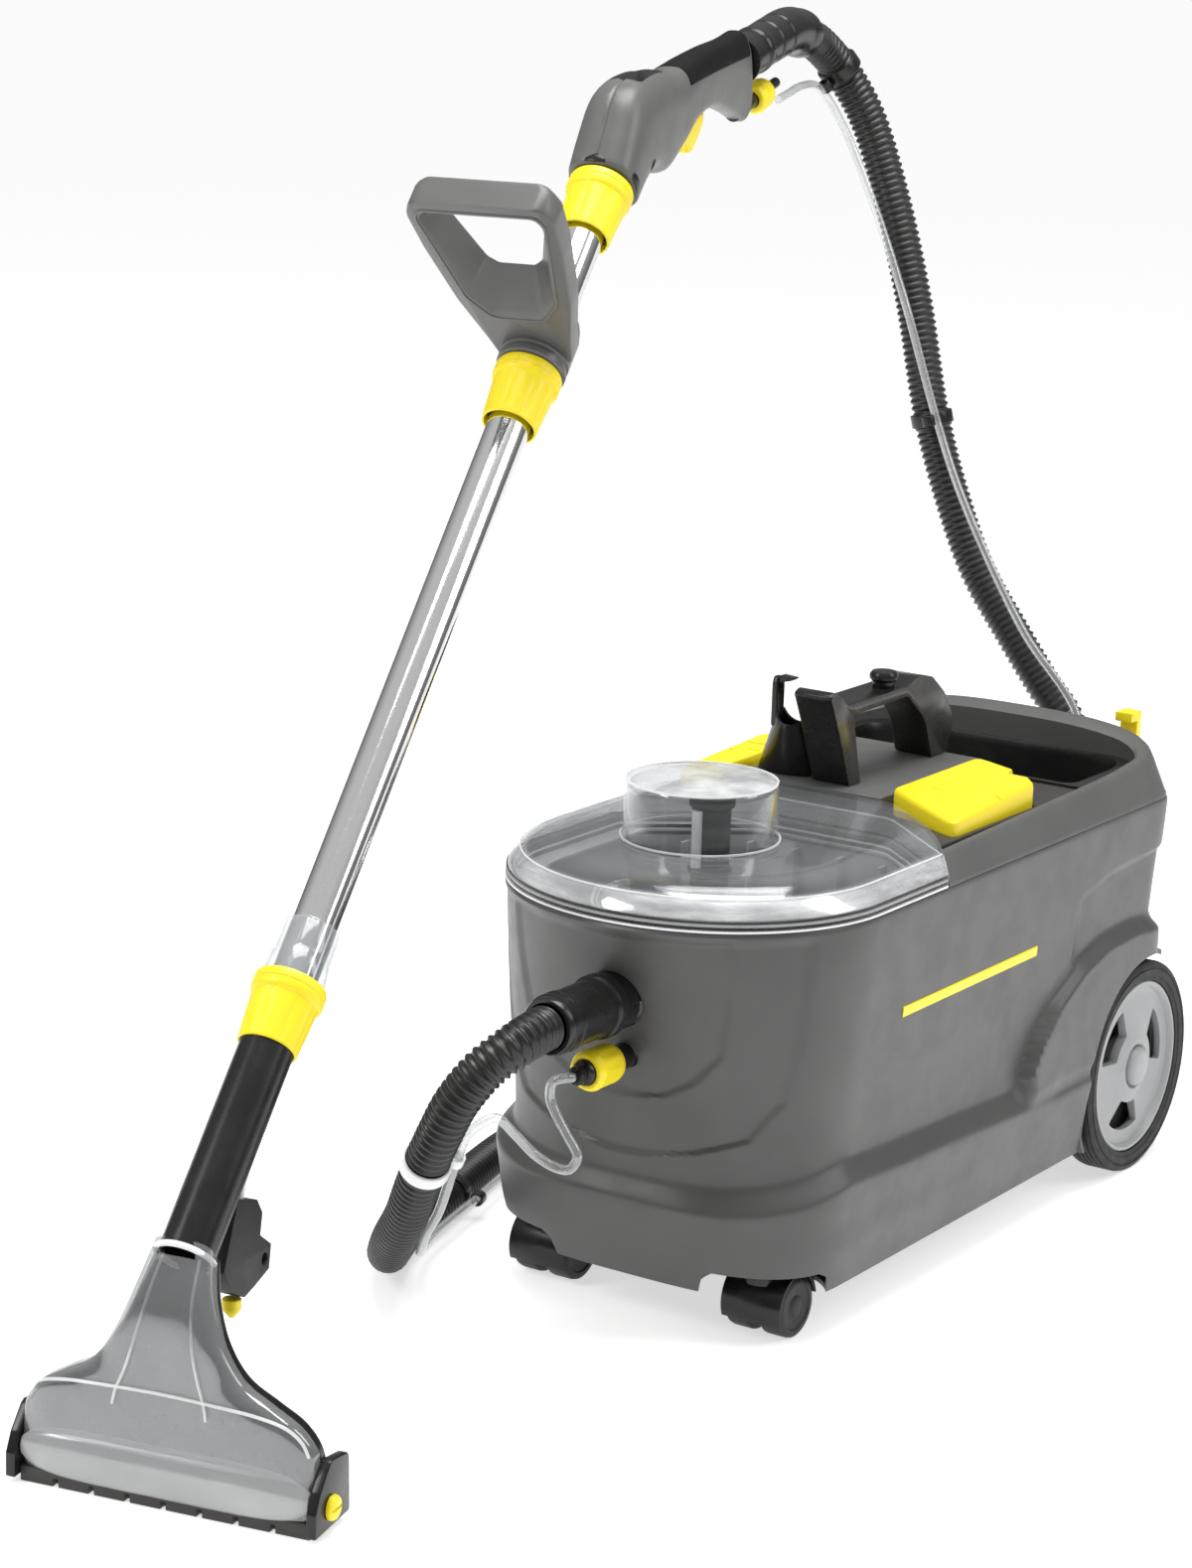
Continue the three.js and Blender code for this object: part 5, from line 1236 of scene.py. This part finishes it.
def make_casters():
    """On each side a hood with its web and stem, and two wheels on one axle."""
    for side, name in SIDES:
        place = on_axis(MACHINE, "x", (side * CASTER_X, -238, 25))
        shell = [(27.8, -26.5), (28, -26), (28, 26), (27.8, 26.5), (26.2, 27), (25.6, 26.4), (25.6, -26.4),
                 (26.2, -27), (27.8, -26.5)]
        cover = lathe("cover", shell, place, "black", 64)
        cover = boolean(cover, *fork_room(side))
        web = lathe("web", [(0, -3), (26.4, -3), (26.4, 3), (0, 3)], place, "black", 64)
        web = boolean(web, *fork_room(side), lathe("bore", [(4.4, -9), (4.4, 9)], place, None, 32))
        stem = lathe("stem", [(0, 44), (13, 44), (13, 50), (9, 54), (6, 55), (6, 68), (5, 69), (0, 69)],
                     caster_pivot(side), "black", 40)
        hood = grouped(eased(cover, 0.5, 2, 50), web, stem)
        hood.name = f"caster_hood_{name}"
        placed_on(hood, f"{name}_caster", "black_plastic", f"caster_fork_{name}")
        wheels = []
        for way in (1, -1):
            rim = [(0, 5), (23, 5), (24.6, 6.2), (25, 8), (25, 22), (24.4, 24.4), (22.5, 25.8), (19, 26),
                   (18, 25), (9, 24.2), (7, 25.6), (0, 25.8)]
            wheels.append(lathe("wheel", [(r, way * h) for r, h in rim], place, "matt_black", 56))
        wheels.append(lathe("axle", [(0, -9), (4, -9), (4, 9), (0, 9)], place, "matt_black", 24))
        pair = grouped(*wheels)
        pair.name = f"caster_wheel_pair_{name}"
        placed_on(pair, f"{name}_caster_wheels", "rubber", f"caster_wheels_{name}")


# ------------------------------------------------------------------ hose inlet and spray outlet
def divided(profile, inner, gap, length):
    """The profile with more points along its outer skin, so that a wobble can shape it."""
    rows = [tuple(profile[0])]
    for a, b in zip(profile, profile[1:]):
        a, b = np.array(a), np.array(b)
        parts = max(1, int(length(b - a) // gap)) if min(a[0], b[0]) > inner else 1
        rows += [tuple(a + (b - a) * k / parts) for k in range(1, parts + 1)]
    return rows


def ramp(value, length):
    return min(max(value / length, 0), 1)


def sleeve(name, inner, outer, start, end, place, flutes=10):
    """A yellow pull-back sleeve, fluted for the fingers, with a rounded rear edge."""
    corners = [(inner, start), (outer - 2.5, start), (outer, start + 5), (outer, end - 6), (outer - 1.5, end),
               (inner, end)]
    profile = filleted(corners, (0.5, 2, 2, 2, 1.5, 0.5), 4)
    span = end - start

    def flute(angle, height):
        share = ramp(height - start - 0.18 * span, 0.2 * span) * ramp(end - 0.14 * span - height, 0.1 * span)
        return 1 - 0.022 * share * (1 + math.cos(flutes * angle))

    rows = divided([*profile, profile[0]], inner + 1, 2.5, np.linalg.norm)
    return lathe(name, rows, place, "yellow", 80, 34, flute)


def make_front_fittings():
    """The hose's cuff and the spray outlet's coupling on the nose."""
    profile = [(19, -327), (23, -327), (23, -343), (24.6, -344.4), (25, -346), (25, -352), (24.6, -353.6),
               (23, -355), (22.6, -384), (22.8, -396), (23.6, -397), (23.6, -400), (22.6, -401),
               (22.6, -406), (23.4, -407), (23.4, -410), (22.4, -411), (22.2, -415), (21, -417),
               (18.4, -417), (19, -327)]
    cuff = lathe("hose_cuff", profile, INLET_AXIS, "black", 72, 30)
    placed_on(cuff, "machine", "black_plastic", "hose_inlet_cuff")
    body = [(0, -316), (10, -316), (10, -372), (9, -374), (6.6, -375), (6.6, -378), (7.4, -379),
            (7.4, -381.5), (5, -382.5), (5, -385), (0, -385)]
    placed_on(lathe("spray_nipple", body, OUTLET_AXIS, "black", 48, 30), "machine", "black_plastic",
              "spray_outlet")
    ring = sleeve("outlet_sleeve_ring", 10.4, 16, -370, -336, OUTLET_AXIS)
    placed_on(ring, "outlet_sleeve", "yellow_plastic", "outlet_sleeve")


# ------------------------------------------------------------------ tube, union nuts, collets
NUTS = {"bottom_nut": 0, "middle_nut": 556, "top_nut": 747}


def make_tube():
    """Two lengths of chromed tube with their nuts, collets and clear sleeve."""
    joint_at = NUTS["middle_nut"] - 8
    lengths = (("lower_tube", -6, joint_at), ("upper_tube", joint_at + 0.4, NUTS["top_nut"] + 12))
    for name, start, end in lengths:
        skin = [(17, start + (end - start) * k / 12) for k in range(1, 12)]
        rings = [(15.5, start), (17, start), *skin, (17, end), (15.5, end), (15.5, start)]
        placed_on(lathe(f"{name}_chromed", rings, TUBE, "chrome", 72), "wand", "chrome", name)
    for name, at in NUTS.items():
        placed_on(union_nut(name, at), name, "yellow_plastic", name)
    for name, at in (("lower_collet", 556), ("upper_collet", 747)):
        ring_profile = tube_profile(20, 17.4, at - 20, at + 20, 0.8)
        placed_on(lathe(f"{name}_ring", ring_profile, TUBE, "black", 56), "wand", "black_plastic", name)
    skirt = [(17.4, 27.4), (23, 27.4), (23.2, 29), (22.6, 44), (21.6, 46), (21.2, 50), (21, 70), (20.2, 72),
             (19, 73), (17.4, 73), (17.4, 27.4)]
    placed_on(lathe("clear_collar", skirt, TUBE, "collar", 64), "wand", "clear_plastic", "clear_sleeve")


def union_nut(name, at):
    """A flange with small notches above a body with shallow flats."""
    low, high = at - 27, at + 27
    profile = [(20.4, low), (21.6, low), (22.2, low + 0.8), (22.6, low + 6), (24.6, high - 18),
               (24.9, high - 16), (26.2, high - 14.6), (27, high - 12.6), (27, high - 9.4),
               (26.4, high - 8.6), (26.4, high - 7.6), (27, high - 6.8), (27, high - 3), (26.2, high - 1),
               (24.6, high), (20.4, high), (20.4, low)]
    rows = divided(profile, 21, 4, lambda step: abs(step[1]))

    def flats(angle, height):
        share = ramp(height - low - 2, 6) * ramp(high - 17 - height, 4)
        rim = ramp(height - high + 14, 1.5) * ramp(high - 3 - height, 1)
        wave = abs(math.sin(4 * angle))
        notch = 0.012 if math.cos(24 * angle) > 0.6 else 0.0
        return 1 - 0.022 * share * (1 - wave) ** 2 * 2 - notch * rim

    return lathe(f"{name}_ring", rows, TUBE, "yellow", 144, 30, flats)


# ------------------------------------------------------------------ D-handle
D_FOOT = 583.4
D_LENGTH = 52
D_REACH = 178
D_HALF_DEPTH = 13
# Half of each outline: distance from the middle and reach from the tube's axis, with the corner's radius.
D_OUTLINE = [(29, -6, 8), (35, 20, 20), (48, 66, 40), (58, 126, 50), (61, 162, 16), (54, D_REACH, 12)]
D_OPENING_LOW = [(20, 50, 16), (36, 72, 16), (51, 158, 14), (46, 167, 8)]
D_OPENING_HIGH = [(15, 83, 6), (23, 90, 8), (41, 146, 8), (38, 154, 6)]


def d_ring(half, height, grow=0.0):
    """A symmetric outline of the handle at a height along the tube."""
    points = [(x + grow, out, r) for x, out, r in half] + [(-x - grow, out, r) for x, out, r in half[::-1]]
    flat = filleted([(x, -out) for x, out, _ in points], [r for *_, r in points], 9)
    return [(x, y, height) for x, y in flat]


def make_d_handle():
    """A loop with a sloping opening, joined to a collar round the tube."""
    middle = D_FOOT + D_LENGTH / 2
    low, high = middle - D_HALF_DEPTH, middle + D_HALF_DEPTH
    steps = ((low, -2.6), (low + 1, -1.1), (low + 3, 0), (high - 6, 0), (high - 2.4, -1.4), (high, -4))
    body = loft("handle_loop", [d_ring(D_OUTLINE, z, grow) for z, grow in steps], TUBE, "handle_grey")
    share = np.linspace(0, 1, 7)
    near, far = np.array(d_ring(D_OPENING_LOW, low)), np.array(d_ring(D_OPENING_HIGH, high))
    rings = [near + (far - near) * t for t in share]
    rings = [near - (0, 0, 3), *rings, far + (0, 0, 3)]
    body = boolean(body, loft("opening", rings, TUBE, None))
    eased(body, 2.0, 3, 42, sharp=60)
    profile = [(0, D_FOOT), (26.6, D_FOOT), (28, D_FOOT + 1.5), (28, D_FOOT + 6), (27, D_FOOT + 7),
               (27, D_FOOT + 9), (28, D_FOOT + 10), (28, D_FOOT + 38), (26, D_FOOT + 47),
               (24, D_FOOT + D_LENGTH), (0, D_FOOT + D_LENGTH)]
    collar = lathe("collar", profile, TUBE, "handle_grey", 72)
    body = joined(body, collar)
    bore = lathe("bore", [(17.4, D_FOOT - 9), (17.4, D_FOOT + D_LENGTH + 9)], TUBE, None, 64)
    body = boolean(body, bore, sharp=40)
    placed_on(body, "wand", "grey_plastic", "d_handle")
    wider = [(x + 2.2, out + (2.2 if k > 1 else -2.4), r) for k, (x, out, r) in enumerate(D_OPENING_LOW)]
    rim = np.array(d_ring(wider, low - 0.2))
    bead = swept("handle_loop_bead", np.concatenate([rim, rim[:1]]), 1.0, 8, TUBE, "handle_grey", caps=False)
    placed_on(bead, "wand", "grey_plastic")


# ------------------------------------------------------------------ hand grip
# Place along and above, direction, half height and half width, in the wand's upright plane.
GRIP = [
    (716, 851, 44.5, 28, 28), (736, 873, 47, 33, 28.5), (762, 893, 40, 43, 28), (802, 897, 20, 45, 25.5),
    (844, 904, 12, 34, 22), (890, 919, 9, 27, 17.5), (935, 927, 9, 26, 15.5), (980, 926, 9, 32, 15.5),
    (1012, 924, 9, 40, 16),
]
GRIP_SPRAY = (1048, 901)
BEND_ROOT = (1012, 936)
SPIGOT = 12
COVER = [(854, 925), (1003, 943), (1003, 1000), (854, 980)]


def grip_ring(station, grow=0.0):
    """A rounded-square ring square to the grip at one of its stations."""
    s, z, tilt, high, wide = station
    count = 56
    lean = math.radians(tilt)
    bend = lambda v: math.copysign(abs(v) ** 0.72, v)
    ring = []
    for k in range(count):
        angle = 2 * math.pi * k / count
        up = (high + grow) * bend(math.sin(angle))
        ring.append(((wide + grow) * bend(math.cos(angle)), s - up * math.sin(lean), z + up * math.cos(lean)))
    return ring


def wand_plate(name, outline, low, high, material=None):
    """An outline of (s, z) points with a thickness across the wand."""
    return extruded(name, outline, low, high, on_axis(WAND, "x"), material)


def spigot_bore():
    return lathe("bore", [(SPIGOT + 0.4, -30), (SPIGOT + 0.4, 30)], along_grip(*BEND_ROOT), None, 56)


def make_grip():
    """The grip with its socket, slot, screw holes, cover, trigger and spray coupling."""
    stations = flowing(GRIP, 5)
    body = loft("grip_housing", [grip_ring(s) for s in stations], WAND, "handle_grey")
    eased(body, 2.5, 3, 60)
    body = boolean(body, wand_plate("cover_room", [(s, z - 0.4) for s, z in COVER], -60, 60))
    slot = filleted([(862, 850), (862, 896), (926, 909), (926, 850)], 3, 3)
    body = boolean(body, wand_plate("slot", slot, -8, 8))
    inset = filleted([(-15, 752), (15, 752), (12, 812), (-12, 812)], 7, 5)
    body = boolean(body, extruded("inset", inset, 925, 990, WAND, None))
    screw_axis = on_axis(WAND, "x", (0, 758, 866))
    for way in (1, -1):
        body = boolean(body, lathe("screw_hole", [(5.2, way * 10), (5.2, way * 60)], screw_axis, None, 32))
    crest = []
    for s, z, tilt, high, _ in GRIP[:5]:
        lean = math.radians(tilt)
        crest.append((0, s - (high + 2) * math.sin(lean), z + (high + 2) * math.cos(lean)))
    body = boolean(body, swept("parting", flowing(crest, 6), 3.0, 8, WAND, None))
    socket = TUBE @ Matrix.Translation((0, 0, 759))
    body = boolean(body, lathe("socket", [(17.4, -30), (17.4, 22)], socket, None, 56), spigot_bore(),
                   sharp=36)
    placed_on(body, "wand", "grey_plastic", "handle_housing")
    outline = filleted([(-14, 753), (14, 753), (11, 811), (-11, 811)], 6, 5)
    plug = extruded("grip_inset", outline, 922, 928, WAND, "matt_black")
    placed_on(eased(plug, 1, 2), "wand", "black_plastic")
    profile = [(20.6, 776), (28.6, 776), (29.4, 778), (29.4, 782), (28.6, 784), (20.6, 784), (20.6, 776)]
    placed_on(lathe("grip_neck", profile, TUBE, "black", 64), "wand", "black_plastic")
    skin = loft("grip_cover_skin", [grip_ring(s, 0.8) for s in stations], WAND, "soft_black")
    region = wand_plate("region", [(s, z + 0.2) for s, z in COVER], -60, 60)
    skin = boolean(skin, region, operation="INTERSECT")
    skin = boolean(skin, spigot_bore(), sharp=36)
    placed_on(eased(skin, 1.2, 2, 50), "wand", "black_plastic", "grip_cover")
    trigger = from_node("trigger", "trigger_lever", "yellow", 1.8, 4)
    placed_on(trigger, "trigger", "yellow_plastic", "trigger")
    coupling = along_grip(*GRIP_SPRAY)
    nipple = [(0, -42), (7, -42), (7, 34), (5.8, 35), (5.8, 38), (6.4, 39), (6.4, 44), (4.6, 45), (4.5, 66),
              (0, 66)]
    nipple = lathe("spray_inlet_nipple", nipple, coupling, "black", 40, 30)
    placed_on(nipple, "wand", "black_plastic", "spray_inlet")
    ring = sleeve("inlet_sleeve_ring", 7.4, 14, 4, 32, coupling, 8)
    placed_on(ring, "inlet_sleeve", "yellow_plastic", "inlet_sleeve")


def make_bend():
    """The swivel cuff and the bend that turns down into the hose."""
    places = ((1014, 937), (1052, 945), (1096, 953), (1140, 959), (1175, 954.5))
    path = flowing([(0, s, z) for s, z in places], 14)
    line, length = spaced(path, 1.2)
    run = np.linspace(0, length, len(line))
    radii = np.linspace(19.5, 21, len(line))
    bands = ((2, 3, 1.6), (30, 3.5, -1.6), (36, 7, 1.2), (64, 2.0, -1.6), (92, 2.0, -1.4),
             (length - 9, 8, 0.9))
    for at, wide, high in bands:
        radii += high * np.exp(-(((run - at) / wide) ** 4))
    bend = swept("hose_bend_cuff", line, radii, 56, WAND, "black", sharp=50)
    profile = [(0, -24), (SPIGOT, -24), (SPIGOT, 8), (0, 8)]
    spigot = lathe("spigot", profile, along_grip(*BEND_ROOT), "black", 48)
    placed_on(grouped(bend, spigot), "wand", "black_plastic", "hose_bend")


# ------------------------------------------------------------------ floor nozzle
NOZZLE_HALF = 120
END_THICKNESS = 7.5
# Place, height, direction, half depth and half width from the neck down to the mouth.
FAN = [
    (30, 177, 44, 18, 22), (16, 150, 66, 17, 30), (9, 122, 80, 16, 42), (8, 100, 88, 16, 58),
    (8, 86, 90, 17, 82), (9, 74, 90, 19, 101), (10.5, 58, 90, 20, 112), (11.5, 36, 90, 20, 114.5),
    (12, 12, 90, 20, 115),
]
WINDOW = [(-70, 215), (42, 215), (37, 188), (18, 150), (9, 122), (8, 100), (8, 86), (9, 74), (10.5, 58),
          (11.5, 36), (12, -10), (-70, -10)]
END_PLATE = [(-11, 4), (-11, 22), (-4, 36), (12, 54), (40, 50), (42, 6)]
KNOB = (12, 20)


def fan_ring(station, thick=0.0):
    """A rounded-square ring square to the nozzle at one of its stations."""
    s, z, tilt, deep, wide = station
    count = 88
    lean = math.radians(tilt)
    bend = lambda v: math.copysign(abs(v) ** 0.55, v)
    ring = []
    for k in range(count):
        angle = 2 * math.pi * k / count
        back = (deep - thick) * bend(math.sin(angle))
        ring.append(((wide - thick) * bend(math.cos(angle)), s + back * math.sin(lean),
                     z - back * math.cos(lean)))
    return ring


def fan_shell(material):
    stations = flowing(FAN, 7)
    outside = loft("fan", [fan_ring(s) for s in stations], WAND, material)
    inside = [fan_ring(s, 2.6) for s in stations]
    inside[0] = [(x, s + 2.5, z + 2.5) for x, s, z in inside[0]]
    inside[-1] = [(x, s, z - 6) for x, s, z in inside[-1]]
    return boolean(outside, loft("fan_room", inside, WAND, None))


def make_nozzle():
    """The clear hood and black head, end plates, knobs, sole, lip, ribs and ring; the ribs and the hood's
    front edge are thin white lines painted as highlights.
    """
    hood = boolean(fan_shell("hood"), wand_plate("front", [(s - 0.4, z) for s, z in WINDOW], -200, 200),
                   operation="INTERSECT")
    between = wand_plate("ends", [(-80, -20), (90, -20), (90, 300), (-80, 300)], -112, 112)
    hood = boolean(hood, between, operation="INTERSECT")
    hood = boolean(hood, lathe("neck_room", [(20.4, -198), (20.4, 4)], TUBE, None, 56), sharp=30)
    placed_on(hood, "wand", "clear_plastic", "nozzle_window")
    head = boolean(fan_shell("black"), wand_plate("front", WINDOW, -200, 200))
    neck = [(17.4, -190), (20, -190), (20, -20), (21.4, -18), (21.4, -9), (20, -8), (17.4, -8), (17.4, -190)]
    head = joined(head, lathe("neck", neck, TUBE, "gloss_black", 72))
    knob_axis = on_axis(WAND, "x", (0, *KNOB))
    for side in (1, -1):
        low, high = ends_on(side, NOZZLE_HALF - END_THICKNESS, NOZZLE_HALF)
        plate = wand_plate("end", filleted(END_PLATE, (2, 4, 8, 8, 6, 3), 4), low, high, "black")
        head = joined(head, eased(plate, 1.2, 3, 50))
        head = boolean(head, lathe("bore", [(5.4, side * 105), (5.4, side * 130)], knob_axis, None, 32))
    head.name = "nozzle_back"
    crisp(head, 32)
    placed_on(head, "wand", "black_plastic", "nozzle_head")
    for side, name in SIDES:
        face = NOZZLE_HALF + 0.4
        profile = [(0, 114), (5, 114), (5, face), (9, face), (9.2, face + 0.8), (9, face + 2.6),
                   (8, face + 4), (6.4, face + 4.8), (0, face + 5)]
        profile = [(r, side * h) for r, h in profile]
        knob = lathe(f"side_knob_{name}", profile, knob_axis, "yellow", 48, 34)
        low, high = ends_on(side, face + 3.2, face + 9)
        corners = [(KNOB[0] + 7 * a, KNOB[1] + 1.1 * b) for a, b in ((-1, -1), (1, -1), (1, 1), (-1, 1))]
        slit = wand_plate("slit", corners, low, high)
        placed_on(boolean(knob, slit, sharp=34), f"{name}_knob", "yellow_plastic", f"nozzle_knob_{name}")
    sole = from_node("nozzle_sole", "nozzle_sole_strip", "dark", 0.7, 2)
    placed_on(sole, "wand", "dark_plastic", "nozzle_sole")
    lip = []
    for x in np.linspace(-111, 111, 41):
        swell = (1 - (abs(x) / 114) ** 6) ** 0.5
        lip.append([(x, -1 - 10.5 * swell * max(0.0, math.cos(a)) - 0.5 * math.cos(a),
                     26 + 19 * swell * math.sin(a)) for a in np.linspace(-math.pi, math.pi, 33)[:-1]])
    placed_on(loft("suction_lip", lip, WAND, "misty"), "wand", "light_plastic")
    # Thin white lines along the hood's ribs: painted highlights.
    for way, name in SIDES:
        places = ((14, 21, 176), (17, 4, 150), (22, -5, 122), (28, -7.5, 100), (34, -9.6, 84),
                  (36, -10.4, 74))
        points = [(way * w, s, z) for w, s, z in places]
        rib = swept(f"fan_rib_highlight_{name}", flowing(points, 8), 1.1, 10, WAND, "edge")
        placed_on(rib, "wand", "clear_plastic")
    # A thin white line along the hood's front edge: a painted highlight.
    half = [(111, 60), (106, 70), (96, 78), (78, 83), (40, 86)]
    crest = [*((-w, z) for w, z in half), (0, 87), *half[::-1]]
    points = [(w, -9.2 + 5 * (abs(w) / 111) ** 4, z) for w, z in crest]
    placed_on(swept("hood_edge_highlight", flowing(points, 8), 1.2, 10, WAND, "edge"), "wand", "clear_plastic")
    collar = TUBE @ Matrix.Translation((0, 0, -194))
    profile = [(20.3, 0), (22.4, 0), (23.4, 1), (23.4, 3), (22.4, 4), (20.3, 4), (20.3, 0)]
    placed_on(lathe("neck_ring", profile, collar, "frosted_and_highlight", 64), "wand", "clear_plastic")


def make_jet():
    bracket = from_node("spray_jet_bracket", "jet_bracket", "matt_black", 1.6, 3)
    placed_on(bracket, "wand", "black_plastic", "spray_jet_bracket")
    profile = [(0, 106), (2.2, 106), (3, 107), (6.8, 112), (7, 114), (7, 119.4), (6.4, 120), (0, 120)]
    tip = lathe("jet_tip", profile, on_axis(WAND, "z", (0, 95, 0)), "yellow", 40)
    placed_on(tip, "wand", "yellow_plastic", "spray_jet")
    path = flowing([(0, 102, 186), (0, 107, 198), (0, 115, 212), (0, 124, 224)], 8)
    placed_on(swept("jet_feed", path, 3.4, 16, WAND, "frosted_and_highlight"), "wand", "clear_plastic")


# ------------------------------------------------------------------ pieces inside, kept as the CAD has them
INSIDE = {
    "fresh_water_tank": "tank", "suction_motor": "matt_black", "turbine_fan": "steel",
    "water_pump": "matt_black", "rear_axle": "steel", "spray_pipe": "steel",
}


def finish_inside():
    for node, finish in INSIDE.items():
        piece = frame["nodes"][node]
        for slot in piece.material_slots:
            slot.material = MATERIALS[finish]


for make in (make_camera, make_cords, make_housing, make_deck, make_bin, make_switches, make_handle,
             make_holder, make_rear_fittings, make_lid, make_tank, make_wheels, make_casters,
             make_front_fittings, make_tube, make_d_handle, make_grip, make_bend, make_nozzle, make_jet,
             finish_inside, make_studio):
    make()
